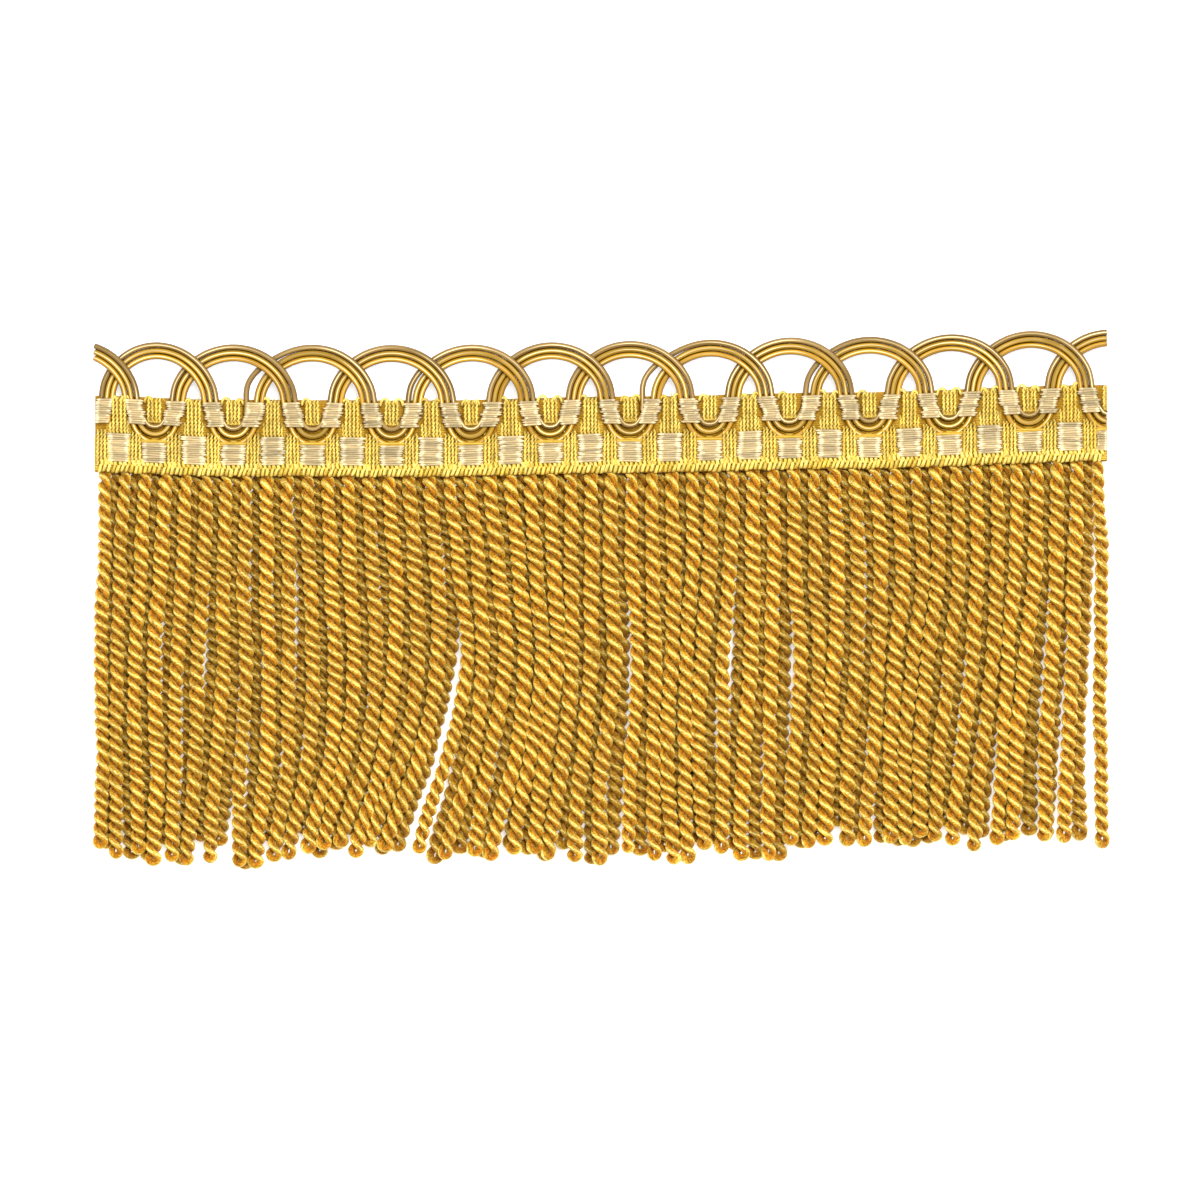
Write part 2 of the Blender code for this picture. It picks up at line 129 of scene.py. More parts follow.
# The skirt, as in the solids but for a few rows of its lean and partings
CORD_WIDTH = 1.95 * MM
CORD_SPACING = 2.26 * MM
LENGTH_SPREAD = 1.2 * MM
ROUTE_SPREAD = (0.0, 0.25 * MM, 0.35 * MM, 0.45 * MM, 0.6 * MM)
STRIP_OVERHANG = 0.15 * MM
STRIP_REACH = 2.6 * MM
FRONT_COUNT = 50
BACK_COUNT = 49
LEAN_DEPTHS = (0.0, 0.25, 0.5, 0.75, 1.0)
LEAN = np.array((
    (-75.0, 0.0, 0.0, 0.0, 0.0, 0.0),
    (-70.2, -0.8, -1.3, -1.5, -1.9, 0.0),
    (-66.0, -0.8, -1.7, -1.7, -1.5, -0.5),
    (-56.0, -0.3, -0.7, -1.4, -2.0, -0.2),
    (-49.0, 0.2, 0.3, -0.4, -1.5, -0.4),
    (-45.0, 0.5, 0.7, 0.0, -2.2, 0.3),
    (-38.0, 0.6, 1.0, 0.0, -2.2, 0.8),
    (-30.0, 1.0, 1.2, -0.5, -4.5, 1.4),
    (-24.0, 1.5, 2.0, -1.1, -7.0, 1.2),
    (-21.5, 1.5, 2.0, -1.0, -4.1, 0.4),
    (-14.0, 1.4, 2.0, 0.4, -2.6, 0.7),
    (-7.0, 0.4, 0.6, -0.7, -2.6, 0.3),
    (-4.0, 0.0, -0.2, -1.5, -3.2, 0.0),
    (1.0, 0.0, 0.0, -1.2, -1.4, -0.2),
    (7.0, 0.1, 1.0, 0.8, 0.5, 0.4),
    (11.0, 0.2, -0.3, -0.3, 0.0, 0.0),
    (17.0, -0.4, -1.4, -2.3, -2.3, 0.0),
    (24.0, 0.1, -0.4, -0.9, -1.1, -0.3),
    (30.0, 0.3, 1.0, 0.5, 0.0, 0.2),
    (35.5, 0.6, 0.4, -0.7, -1.2, 1.8),
    (43.5, 1.2, 0.6, 0.0, -0.6, 0.6),
    (50.5, 0.8, -1.2, -2.9, -3.8, 1.0),
    (57.0, 0.4, -0.8, -2.1, -3.5, 0.3),
    (64.5, -0.4, -1.4, -2.7, -3.3, 0.8),
    (68.5, -0.4, -0.9, -1.8, -2.2, 0.0),
    (72.0, -0.4, -0.8, -1.6, -2.1, 0.0),
    (73.5, 0.5, 0.2, 0.2, 0.4, 0.0),
)) * MM

# Partings of the skirt: place of the parting at the root, how far it opens at
# a quarter, a half, three quarters and the whole of the cords' length
PARTING_REACH = 6.0 * MM
PARTINGS = np.array((
    (-69.0, 0.0, 0.0, 0.4, 1.6),
    (-64.5, 0.5, 0.2, 0.0, 0.0),
    (-57.8, 0.0, 0.0, 0.0, 1.1),
    (-52.6, 0.0, 0.0, 0.1, 1.1),
    (-48.6, 0.0, 0.0, 0.3, 0.8),
    (-45.1, 0.4, 0.0, 0.0, 0.0),
    (-22.7, 0.1, 1.2, 1.9, 2.2),
    (-12.0, 0.0, 0.0, 0.2, 1.3),
    (6.2, 0.0, 0.0, 0.5, 1.3),
    (11.5, 0.0, 0.0, 0.2, 1.4),
    (16.8, 0.1, 0.3, 0.0, 0.0),
    (28.0, 0.0, 0.1, 0.1, 0.4),
    (35.0, 0.6, 0.7, 0.3, 0.6),
    (42.0, 0.0, 0.0, 0.3, 1.4),
    (50.2, 0.3, 1.0, 0.5, 0.0),
    (60.5, 0.0, 0.0, 0.1, 0.9),
    (72.0, 0.0, 0.0, 0.6, 1.3),
)) * MM

# Finish of the skirt cords
S_TWIST = -1
PLY_TWIST = 1.1 / MM
# Section of a ply as shares of the cord's radius: distance of its middle from
# the cord's middle, half its depth, half its width
SHAFT_SECTION = (0.51, 0.49, 0.64)
TIP_SECTION = (0.57, 0.47, 0.6)
TIP_LENGTH = 2.2 * MM
HIDDEN_ROOT = 1.3 * MM
ROOT_RISE = 2.1 * MM
ROOT_FLATNESS = 0.36
LOOP_STEPS = 8
TIP_TURN_SPREAD = math.radians(40)
ROOT_TURN_SPREAD = math.radians(160)
GIRTH_SPREAD = (0.94, 1.07)
GIRTH_WAVE = 0.05
GIRTH_WAVE_LENGTH = 9.0 * MM
PITCH_WAVE = 0.3 * MM
PITCH_WAVE_LENGTH = 13.0 * MM
CORD_WAVE_LENGTH = 17.0 * MM
CORD_WAVE_HEIGHT = 0.1 * MM
SWAYS = ((0.13 * MM, 38.0 * MM), (0.06 * MM, 15.0 * MM))
EXTRA_TURNS = 1.2
EXTRA_TURNS_FROM = -22.0 * MM
EXTRA_TURNS_UP_TO = -45.0 * MM
ROOT_GIRTH = 0.84
ROOT_GIRTH_LENGTH = 14.0 * MM
LEVEL_SPREAD = 0.22 * MM
# Share of the back row's cords that are short, and by how much
SHORT_SHARE = 0.3
SHORTER_BY = (1.5 * MM, 3.0 * MM)
# Tone ranges of each row's cords: random within a range; the back row's lower range is painted shade.
ROW_TONES_WITH_BACK_SHADE = {"back": (0.0, 0.25), "front": (0.6, 1.0)}
ROUTE_SAMPLES = 80

# Rows of the skirt: count, seed of the routes, level of the roots, level of
# the cords, rings in a turn, sides of a ply, cords in each piece, girth, sway
SKIRT_ROWS = {
    "back": (BACK_COUNT, 11, 0.45 * MM, 1.4 * MM, 8, 8, (49,), 1.13, 0.3),
    "front": (FRONT_COUNT, 23, 1.62 * MM, 3.45 * MM, 11, 10, (25, 25), 1.0, 1.0),
}

# Yarns of the heading: heights over the lower edge, levels over the surface
COLUMN_ROUTE = np.array((
    (0.8, 2.6), (1.2, 2.98), (3.0, 3.05), (4.9, 2.95), (5.5, 2.4), (6.1, 1.7),
)) * MM
COLUMN_OFFSETS = (-0.78 * MM, -0.27 * MM, 0.26 * MM, 0.77 * MM)
TURN_RIB_ROUTE = np.array((
    (7.3, 1.7), (7.75, 2.5), (8.2, 2.8), (10.4, 2.8), (10.9, 2.45), (11.0, 1.9),
)) * MM
CROSS_RIB_ROUTE = np.array((
    (5.3, 2.3), (5.7, 2.75), (8.2, 2.85), (10.4, 2.8), (10.9, 2.45), (11.0, 1.9),
)) * MM
RIB_KINDS = (0.0, 0.0, 0.1, 0.35)
RIB_STRAY = 0.03
RIB_SIDES = 7
RIB_RINGS = 8
RIB_OFFSETS = (-0.83 * MM, -0.28 * MM, 0.28 * MM, 0.83 * MM)
BLOCK_ROUTE = np.array((
    (5.3, 2.2), (5.7, 2.65), (6.9, 2.7), (7.4, 2.2), (7.6, 1.8),
)) * MM
BLOCK_OFFSETS = (-1.3 * MM, -0.8 * MM, 0.8 * MM, 1.3 * MM)

# Floats: distance from the middle, level
UPPER_FLOAT = np.array((
    (0.0, 3.0), (0.75, 2.96), (1.05, 2.75), (1.35, 2.25), (2.0, 1.9),
)) * MM
LOWER_FLOAT = np.array((
    (0.0, 3.3), (0.9, 3.27), (1.4, 3.12), (1.75, 2.85), (2.1, 2.6),
)) * MM
UPPER_FLOAT_REACH = 1.46 * MM
LOWER_FLOAT_REACH = 1.95 * MM
UPPER_FLOAT_HEIGHTS = (7.25 * MM, 10.55 * MM)
CROSS_FLOAT_HEIGHTS = (1.6 * MM, 5.45 * MM)
TURN_FLOAT_HEIGHTS = (1.6 * MM, 4.25 * MM)
FLOAT_RAGGEDNESS = 0.28 * MM
# Half the width and half the thickness of a filament as shares of their pitch
FILAMENT_SECTION = (0.56, 0.36)

# The ground of the heading: levels of its face and its underside
LOW_GROUND = 1.5 * MM
RIB_GROUND = 2.4 * MM
LOWER_GROUND = 2.65 * MM
LIP_UNDERSIDE = 2.3 * MM
LIP_DEPTH = 3.0 * MM
GROUND_COLUMNS = 300
GROUND_ROWS = 46
GROUND_REACH = 0.97
TAPE_COLUMNS = 150
TAPE_ROWS = 4

# Stage
CAMERA_HEIGHT = 1.0
CAMERA_SHIFT = -0.15 * MM
VIEW_WIDTH = 178.2 * MM
SENSOR = 36.0
FLOOR_SIZE = 2.4
FLOOR_DROP = 0.02 * MM
FLOOR_GLOW = 0.48
# Lights: place, size, power in watts
LIGHTS = {
    "key": ((0.14, 0.28, 0.92), 0.5, 9.5),
    "fill": ((-0.55, -0.35, 0.9), 0.7, 2.5),
}
WORLD_COLOUR = (1.0, 0.99, 0.97, 1.0)
WORLD_STRENGTH = 0.85


def fringe_sizes():
    return bpy.context.scene.fringe_sizes


def fringe_colours():
    return bpy.context.scene.fringe_colours


# Tables, feet and the heading's line

def smooth(low, high, value):
    """Rise from 0 at low to 1 at high, with soft ends."""
    share = np.clip((value - low) / (high - low), 0.0, 1.0)
    return share * share * (3 - 2 * share)


def read_table(table, places):
    """Columns of a table at some places, smooth between its rows."""
    rows = np.array(table)
    starts = rows[:, 0]
    places = np.clip(np.asarray(places, dtype=float), starts[0], starts[-1])
    row = np.clip(np.searchsorted(starts, places, side="right") - 1, 0, len(rows) - 2)
    share = smooth(starts[row], starts[row + 1], places)
    values = rows[row, 1:] + (rows[row + 1, 1:] - rows[row, 1:]) * share[..., None]
    return values if values.shape[-1] > 1 else values[..., 0]


def heading_y(x, height):
    """World Y of a height over the heading's lower edge."""
    return BASE_Y + read_table(HEADING_LINE, x) + height


def foot(index):
    if index == 0:
        return FIRST_FOOT
    return FOOT_START + FOOT_PITCH * index + FOOT_GROWTH * index * index


def gap_middle(index):
    """Middle between a foot and the next; odd gaps hold a turn."""
    return (foot(index) + foot(index + 1)) / 2


def yarn_places():
    """Places of the feet, of the turns and of the crossings between them."""
    feet = [foot(index) for index in range(FOOT_COUNT)]
    turns = [gap_middle(index) for index in range(1, FOOT_COUNT, 2)]
    crossings = [gap_middle(index) for index in range(0, FOOT_COUNT, 2)]
    return feet, turns, crossings


# Masters and copies. Each yarn's fibres start a step further along the noise.

FIBRE_STEP = 0.05


def swept_tube(name, sides, rings, height=1.0, turns=0.0):
    """A closed tube of unit length and radius, turned along its length."""
    bm = bmesh.new()
    bmesh.ops.create_circle(bm, segments=sides, radius=1.0)
    bmesh.ops.scale(bm, vec=(height, 1.0, 1.0), verts=bm.verts)
    stand_section(bm)
    bmesh.ops.spin(
        bm,
        geom=bm.edges[:],
        cent=(0, 0, 0),
        axis=(1, 0, 0),
        dvec=(1 / rings, 0, 0),
        angle=2 * math.pi * turns,
        steps=rings,
    )
    return closed_master(name, bm)


def stand_section(bm):
    """Turn a section from the XY plane into the plane across X."""
    bmesh.ops.rotate(
        bm, cent=(0, 0, 0), matrix=Matrix.Rotation(-math.pi / 2, 3, "Y"), verts=bm.verts
    )


def closed_master(name, bm):
    """Fill a tube's two ends, turn its faces out and keep it as a mesh."""
    rims = [edge for edge in bm.edges if edge.is_boundary]
    bmesh.ops.holes_fill(bm, edges=rims, sides=0)
    bmesh.ops.recalc_face_normals(bm, faces=bm.faces)
    mesh = bpy.data.meshes.new(name)
    bm.to_mesh(mesh)
    bm.free()
    return mesh


def vertex_places(mesh):
    places = np.empty(len(mesh.vertices) * 3)
    mesh.vertices.foreach_get("co", places)
    return places.reshape(-1, 3)


def evenly_spaced(route, count):
    """The same route with a count of points at even distances."""
    steps = np.linalg.norm(np.diff(route, axis=0), axis=1)
    distance = np.concatenate(([0.0], np.cumsum(steps)))
    wanted = np.linspace(0.0, distance[-1], count)
    return np.stack([np.interp(wanted, distance, axis) for axis in route.T], axis=1)


def unit(vectors):
    return vectors / np.linalg.norm(vectors, axis=1, keepdims=True)


def bent(places, route, side=None):
    """Carry points along X, Y and Z onto a route, its side and its upward."""
    along = unit(np.gradient(route, axis=0))
    if side is None:
        sides = unit(np.cross((0.0, 0.0, 1.0), along))
    else:
        sides = np.tile(side, (len(route), 1))
    ups = np.cross(along, sides)
    shares = np.linspace(0.0, 1.0, len(route))

    def at(table):
        return np.stack([np.interp(places[:, 0], shares, axis) for axis in table.T], axis=1)

    return at(route) + places[:, 1:2] * at(sides) + places[:, 2:3] * at(ups)


def make_piece(name, bm, places, material, slot, **attributes):
    """A finished object whose points and attributes are given as arrays."""
    mesh = bpy.data.meshes.new(name)
    bm.to_mesh(mesh)
    bm.free()
    mesh.vertices.foreach_set("co", places.astype(np.float32).ravel())
    for key, values in attributes.items():
        values = np.asarray(values, dtype=np.float32)
        if values.ndim == 2:
            layer = mesh.attributes.new(key, "FLOAT_VECTOR", "POINT")
            layer.data.foreach_set("vector", values.ravel())
        else:
            layer = mesh.attributes.new(key, "FLOAT", "POINT")
            layer.data.foreach_set("value", values)
    mesh.materials.append(material)
    mesh.shade_smooth()
    mesh.update()
    obj = bpy.data.objects.new(name, mesh)
    bpy.context.scene.collection.objects.link(obj)
    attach(obj, BODY)
    return obj


@dataclass
class Yarn:
    """A yarn: its route, half its width, half its thickness and its shade.

    The taper is the share of its width that is left at its ends, and its
    length is a share of the yarn's.
    """

    route: np.ndarray
    width: float
    thickness: float
    tone: float
    kind: float = 0.0
    side: tuple = None
    taper: float = 1.0
    taper_length: float = 0.2


def make_yarns(name, master, yarns, material, slot):
    """Copies of a tube, one for each yarn."""
    base = vertex_places(master)
    bm = bmesh.new()
    places, fibres, crests, reaches, tones, kinds = [], [], [], [], [], []
    for number, yarn in enumerate(yarns):
        bm.from_mesh(master)
        ends = smooth(0.0, yarn.taper_length, 0.5 - np.abs(base[:, 0] - 0.5))
        size = yarn.taper + (1.0 - yarn.taper) * ends
        scaled = base.copy()
        scaled[:, 1] *= yarn.width * size
        scaled[:, 2] *= yarn.thickness * size
        places.append(bent(scaled, yarn.route, yarn.side))
        length = np.linalg.norm(np.diff(yarn.route, axis=0), axis=1).sum()
        fibres.append(np.stack([
            base[:, 1] * yarn.width,
            base[:, 2] * yarn.width,
            base[:, 0] * length + number * FIBRE_STEP,
        ], axis=1))
        crests.append(base[:, 2])
        reaches.append(np.abs(2 * base[:, 0] - 1))
        tones.append(np.full(len(base), yarn.tone))
        kinds.append(np.full(len(base), yarn.kind))
    return make_piece(
        name,
        bm,
        np.concatenate(places),
        material,
        slot,
        fibre=np.concatenate(fibres),
        crest=np.concatenate(crests),
        reach=np.concatenate(reaches),
        tone=np.concatenate(tones),
        kind=np.concatenate(kinds),
    )


# Shader node groups and materials

def add_node(tree, kind, **settings):
    node = tree.nodes.new(kind)
    for key, value in settings.items():
        setattr(node, key, value)
    return node


def new_group(name, inputs, outputs):
    """A shader node group with its own input and output nodes."""
    group = bpy.data.node_groups.new(name, "ShaderNodeTree")
    for label, kind, default in inputs:
        socket = group.interface.new_socket(label, in_out="INPUT", socket_type=kind)
        socket.default_value = default
    for label, kind in outputs:
        group.interface.new_socket(label, in_out="OUTPUT", socket_type=kind)
    return group, group.nodes.new("NodeGroupInput"), group.nodes.new("NodeGroupOutput")


def yarn_streaks_group():
    """Fine lengthwise streaks of filaments, as a value from 0 to 1."""
    name = "yarn_streaks"
    if name in bpy.data.node_groups:
        return bpy.data.node_groups[name]
    group, inputs, outputs = new_group(
        name,
        (
            ("Fibre", "NodeSocketVector", (0.0, 0.0, 0.0)),
            ("Across", "NodeSocketFloat", 6000.0),
            ("Along", "NodeSocketFloat", 400.0),
        ),
        (("Streaks", "NodeSocketFloat"),),
    )
    links = group.links
    scale = add_node(group, "ShaderNodeCombineXYZ")
    links.new(inputs.outputs["Across"], scale.inputs["X"])
    links.new(inputs.outputs["Across"], scale.inputs["Y"])
    links.new(inputs.outputs["Along"], scale.inputs["Z"])
    drawn = add_node(group, "ShaderNodeVectorMath", operation="MULTIPLY")
    links.new(inputs.outputs["Fibre"], drawn.inputs[0])
    links.new(scale.outputs["Vector"], drawn.inputs[1])
    noise = add_node(group, "ShaderNodeTexNoise")
    set_inputs(noise, Scale=1.0, Detail=3.0)
    links.new(drawn.outputs["Vector"], noise.inputs["Vector"])
    spread = add_node(group, "ShaderNodeMapRange")
    set_inputs(spread, From_Min=0.36, From_Max=0.64)
    links.new(noise.outputs["Fac"], spread.inputs["Value"])
    links.new(spread.outputs["Result"], outputs.inputs["Streaks"])
    return group


def tone_shift_group():
    """A colour made darker or lighter by a tone from 0 to 1."""
    name = "tone_shift"
    if name in bpy.data.node_groups:
        return bpy.data.node_groups[name]
    group, inputs, outputs = new_group(
        name,
        (
            ("Color", "NodeSocketColor", (1.0, 1.0, 1.0, 1.0)),
            ("Tone", "NodeSocketFloat", 0.5),
            ("Darkest", "NodeSocketFloat", 0.8),
            ("Lightest", "NodeSocketFloat", 1.1),
        ),
        (("Color", "NodeSocketColor"),),
    )
    links = group.links
    level = add_node(group, "ShaderNodeMapRange")
    links.new(inputs.outputs["Tone"], level.inputs["Value"])
    links.new(inputs.outputs["Darkest"], level.inputs["To Min"])
    links.new(inputs.outputs["Lightest"], level.inputs["To Max"])
    scaled = add_node(group, "ShaderNodeVectorMath", operation="SCALE")
    links.new(inputs.outputs["Color"], scaled.inputs[0])
    links.new(level.outputs["Result"], scaled.inputs["Scale"])
    links.new(scaled.outputs["Vector"], outputs.inputs["Color"])
    return group


def set_inputs(node, **values):
    """Give a node's inputs their values; an underscore stands for a space."""
    for key, value in values.items():
        node.inputs[key.replace("_", " ")].default_value = value


def made_once(name):
    """Build a material of this name the first time it is asked for."""
    def wrapped(build):
        return lambda: bpy.data.materials.get(name) or build(name)
    return wrapped


class Finish:
    """A material under construction: its tree, its shader and short helpers."""

    def __init__(self, name, roughness, specular=0.5, gloss=(1.0, 1.0, 1.0)):
        self.material = bpy.data.materials.new(name)
        self.material.use_nodes = True
        self.tree = self.material.node_tree
        self.links = self.tree.links
        self.shader = self.tree.nodes["Principled BSDF"]
        self.shader.inputs["Roughness"].default_value = roughness
        self.shader.inputs["Specular IOR Level"].default_value = specular
        self.shader.inputs["Specular Tint"].default_value = (*gloss, 1.0)

    def attribute(self, name, output="Fac"):
        node = add_node(self.tree, "ShaderNodeAttribute", attribute_name=name)
        return node.outputs[output]

    def streaks(self, across, along):
        node = add_node(self.tree, "ShaderNodeGroup", node_tree=yarn_streaks_group())
        self.links.new(self.attribute("fibre", "Vector"), node.inputs["Fibre"])
        set_inputs(node, Across=across, Along=along)
        return node.outputs["Streaks"]

    def ramp(self, value, stops, interpolation="LINEAR"):
        """Colours at places from 0 to 1."""
        node = add_node(self.tree, "ShaderNodeValToRGB")
        ramp = node.color_ramp
        ramp.interpolation = interpolation
        while len(ramp.elements) < len(stops):
            ramp.elements.new(0.5)
        for element, (place, color) in zip(ramp.elements, stops):
            element.position = place
            element.color = (*color, 1.0)
        self.links.new(value, node.inputs["Fac"])
        return node.outputs["Color"]

    def grade(self, value, low, high, to_low=0.0, to_high=1.0):
        node = add_node(self.tree, "ShaderNodeMapRange")
        set_inputs(node, From_Min=low, From_Max=high, To_Min=to_low, To_Max=to_high)
        self.links.new(value, node.inputs["Value"])
        return node.outputs["Result"]

    def tone(self, color, value, darkest, lightest):
        node = add_node(self.tree, "ShaderNodeGroup", node_tree=tone_shift_group())
        self.links.new(color, node.inputs["Color"])
        self.links.new(value, node.inputs["Tone"])
        set_inputs(node, Darkest=darkest, Lightest=lightest)
        return node.outputs["Color"]

    def mix(self, share, low, high):
        """Colour between low and high, either of them a socket or a value."""
        node = add_node(self.tree, "ShaderNodeMix", data_type="RGBA")
        self.links.new(share, node.inputs["Factor"])
        for socket, value in ((node.inputs["A"], low), (node.inputs["B"], high)):
            if isinstance(value, bpy.types.NodeSocket):
                self.links.new(value, socket)
            else:
                socket.default_value = (*value, 1.0)
        return node.outputs["Result"]

    def noise(self, vector, scale, detail=2.0):
        node = add_node(self.tree, "ShaderNodeTexNoise")
        set_inputs(node, Scale=scale, Detail=detail)
        self.links.new(vector, node.inputs["Vector"])
        return node.outputs["Fac"]

    def product(self, first, second):
        node = add_node(self.tree, "ShaderNodeMath", operation="MULTIPLY")
        self.links.new(first, node.inputs[0])
        self.links.new(second, node.inputs[1])
        return node.outputs["Value"]

    def sheen(self, weight, tint):
        """Light caught by loose fibres at the sides of a yarn."""
        set_inputs(self.shader, Sheen_Weight=weight, Sheen_Tint=(*tint, 1.0))

    def glow_through(self, weight, reach, radius):
        """Light that passes a little way through the fibres."""
        self.shader.inputs["Subsurface Weight"].default_value = weight
        self.shader.inputs["Subsurface Scale"].default_value = reach
        self.shader.inputs["Subsurface Radius"].default_value = radius

    def color(self, socket):
        self.links.new(socket, self.shader.inputs["Base Color"])

    def bump(self, height, distance, strength=1.0):
        node = add_node(self.tree, "ShaderNodeBump")
        set_inputs(node, Strength=strength, Distance=distance)
        self.links.new(height, node.inputs["Height"])
        self.links.new(node.outputs["Normal"], self.shader.inputs["Normal"])


@made_once("bullion_cord")
def cord_material(name):
    """Two-ply rayon: a painted highlight along each ply's crest, amber and orange beside it, and painted
    shade in the groove between the plies.
    """
    colours = fringe_colours()
    finish = Finish(name, roughness=0.45, specular=0.4, gloss=(1.0, 0.8, 0.3))
    finish.sheen(0.8, (1.0, 0.7, 0.11))
    finish.glow_through(0.3, 0.5 * MM, (1.0, 0.4, 0.06))
    # The ramp paints a highlight on each ply's crest, and paints shade with the deep and groove colours
    # towards the groove.
    crest = finish.grade(finish.attribute("crest"), -1.0, 1.0)
    base = finish.ramp(crest, (
        (0.18, colours.cord_groove_shade),
        (0.40, colours.cord_deep_shade),
        (0.62, colours.cord_amber),
        (0.88, colours.cord_gold),
        (0.97, colours.cord_crest_highlight),
    ))
    streaks = finish.streaks(3000.0, 700.0)
    specks = finish.grade(finish.noise(finish.attribute("fibre", "Vector"), 1500.0), 0.52, 0.64, 0.0, 0.7)
    beside_crest = finish.grade(crest, 0.95, 0.84)
    speckled = finish.mix(finish.product(specks, beside_crest), base, colours.cord_speck)
    # The tone varies at random from cord to cord; the back row's darker tones are painted shade.
    toned = finish.tone(speckled, finish.attribute("tone"), 0.6, 1.1)
    grain = finish.grade(finish.noise(finish.attribute("fibre", "Vector"), 4200.0, 1.0), 0.36, 0.64)
    grained = finish.tone(toned, grain, 0.52, 1.44)
    finish.color(finish.tone(grained, streaks, 0.6, 1.36))
    finish.bump(finish.product(streaks, grain), 0.17 * MM, 0.9)
    return finish.material


@made_once("gimp_silk")
def gimp_material(name):
    """Satin gimps of three colours, streaked along their length, with painted shade at their sides and a
    painted highlight along their tops.
    """
    colours = fringe_colours()
    finish = Finish(name, roughness=0.34, specular=0.35, gloss=(1.0, 0.82, 0.45))
    shade = finish.ramp(finish.attribute("kind"), (
        (0.0, colours.gimp_inner),
        (0.33, colours.gimp_middle),
        (0.67, colours.gimp_outer),
    ), "CONSTANT")
    streaks = finish.streaks(3400.0, 60.0)
    crest = finish.attribute("crest")
    # Painted shade: each gimp's colour darkens towards its sides.
    edge = finish.mix(finish.grade(crest, 0.34, 0.8), colours.gimp_edge_shade, shade)
    # Painted highlight: a cream line along the top of each gimp, broken by the streaks.
    line = finish.product(finish.grade(crest, 0.935, 1.0), finish.grade(streaks, 0.2, 0.7, 0.2, 1.0))
    highlighted = finish.mix(line, edge, colours.gimp_highlight)
    shaded = finish.tone(highlighted, streaks, 0.62, 1.2)
    finish.color(finish.tone(shaded, finish.attribute("tone"), 0.9, 1.1))
    finish.bump(streaks, 0.06 * MM, 0.8)
    return finish.material


@made_once("ivory_floats")
def float_material(name):
    """Ivory satin floats, with a painted sheen brightening their shoulders, amber at their ends."""
    colours = fringe_colours()
    finish = Finish(name, roughness=0.34, gloss=(1.0, 0.93, 0.78))
    # Painted sheen: the shoulder colour brightens each float between its middle and its ends.
    base = finish.ramp(finish.attribute("reach"), (
        (0.0, colours.ivory_middle),
        (0.42, colours.ivory_middle),
        (0.64, colours.ivory_shoulder_sheen),
        (0.86, colours.ivory_shoulder_sheen),
        (1.0, colours.braid_amber),
    ))
    streaks = finish.streaks(4000.0, 500.0)
    toned = finish.tone(base, finish.attribute("tone"), 0.6, 1.26)
    finish.color(finish.tone(toned, streaks, 0.8, 1.16))
    finish.bump(streaks, 0.04 * MM, 0.6)
    return finish.material


@made_once("yellow_yarn")
def braid_material(name):
    """Yellow twisted yarns of the ribs and the edges, with painted shade turning their sides and
    undersides amber.
    """
    colours = fringe_colours()
    finish = Finish(name, roughness=0.5, specular=0.4, gloss=(1.0, 0.85, 0.4))
    base = finish.ramp(finish.attribute("kind"), (
        (0.0, colours.braid_light),
        (0.5, colours.braid_yellow),
        (1.0, colours.braid_amber),
    ))
    streaks = finish.streaks(3600.0, 1500.0)
    # Painted shade: the yarn's colour turns amber towards its sides and underside.
    crest = finish.grade(finish.attribute("crest"), 0.1, 0.8)
    deep = finish.mix(crest, colours.braid_amber, base)
    toned = finish.tone(deep, finish.attribute("tone"), 0.82, 1.12)
    finish.color(finish.tone(toned, streaks, 0.68, 1.24))
    finish.bump(streaks, 0.05 * MM, 0.7)
    return finish.material


@made_once("amber_ground")
def ground_material(name):
    """The amber ground behind the yarns, with fine cross ribs, and painted shade where it lies low."""
    colours = fringe_colours()
    finish = Finish(name, roughness=0.6, specular=0.3, gloss=(1.0, 0.85, 0.4))
    place = add_node(finish.tree, "ShaderNodeTexCoord").outputs["Object"]
    rib = add_node(finish.tree, "ShaderNodeTexWave", bands_direction="Y")
    set_inputs(rib, Scale=900.0, Distortion=2.0)
    finish.links.new(place, rib.inputs["Vector"])
    grain = finish.noise(place, 1800.0)
    # Painted shade: the recess colour darkens the ground where it lies low between the raised yarns, and
    # in the valleys of its cross ribs.
    low = finish.mix(rib.outputs["Fac"], colours.braid_recess_shade, colours.braid_amber)
    high = finish.mix(rib.outputs["Fac"], colours.braid_amber, colours.braid_yellow)
    base = finish.mix(finish.attribute("raised"), low, high)
    finish.color(finish.tone(base, grain, 0.7, 1.3))
    finish.bump(rib.outputs["Fac"], 0.08 * MM, 0.8)
    return finish.material


# The heading

def ground_levels(x, height):
    """Levels of the ground's face and of its underside."""
    feet = np.array([foot(index) for index in range(-1, FOOT_COUNT + 1)])
    gap = np.clip(np.searchsorted(feet, x) - 1, 0, len(feet) - 2)
    middle = (feet[gap] + feet[gap + 1]) / 2
    holds_turn = gap % 2 == 0
    beside = np.abs(x - middle)
    rib = 1.0 - smooth(0.75 * MM, 1.25 * MM, beside)
    block = 1.0 - smooth(1.5 * MM, 1.9 * MM, beside)
    above_turn = smooth(6.9 * MM, 7.5 * MM, height)
    beside_turn = smooth(5.0 * MM, 5.2 * MM, height) * (1.0 - smooth(7.2 * MM, 7.7 * MM, height))
    raised = rib * above_turn
    raised = np.maximum(raised, np.where(holds_turn, 0.0, block * beside_turn))
    raised *= 1.0 - smooth(10.7 * MM, 11.2 * MM, height)
    face = LOW_GROUND + (RIB_GROUND - LOW_GROUND) * raised
    lower = 1.0 - smooth(4.7 * MM, 5.5 * MM, height)
    face = np.maximum(face, LOW_GROUND + (LOWER_GROUND - LOW_GROUND) * lower)
    underside = np.where(height < LIP_DEPTH - 0.1 * MM, LIP_UNDERSIDE, 0.0)
    return face, underside, np.maximum(raised, lower)


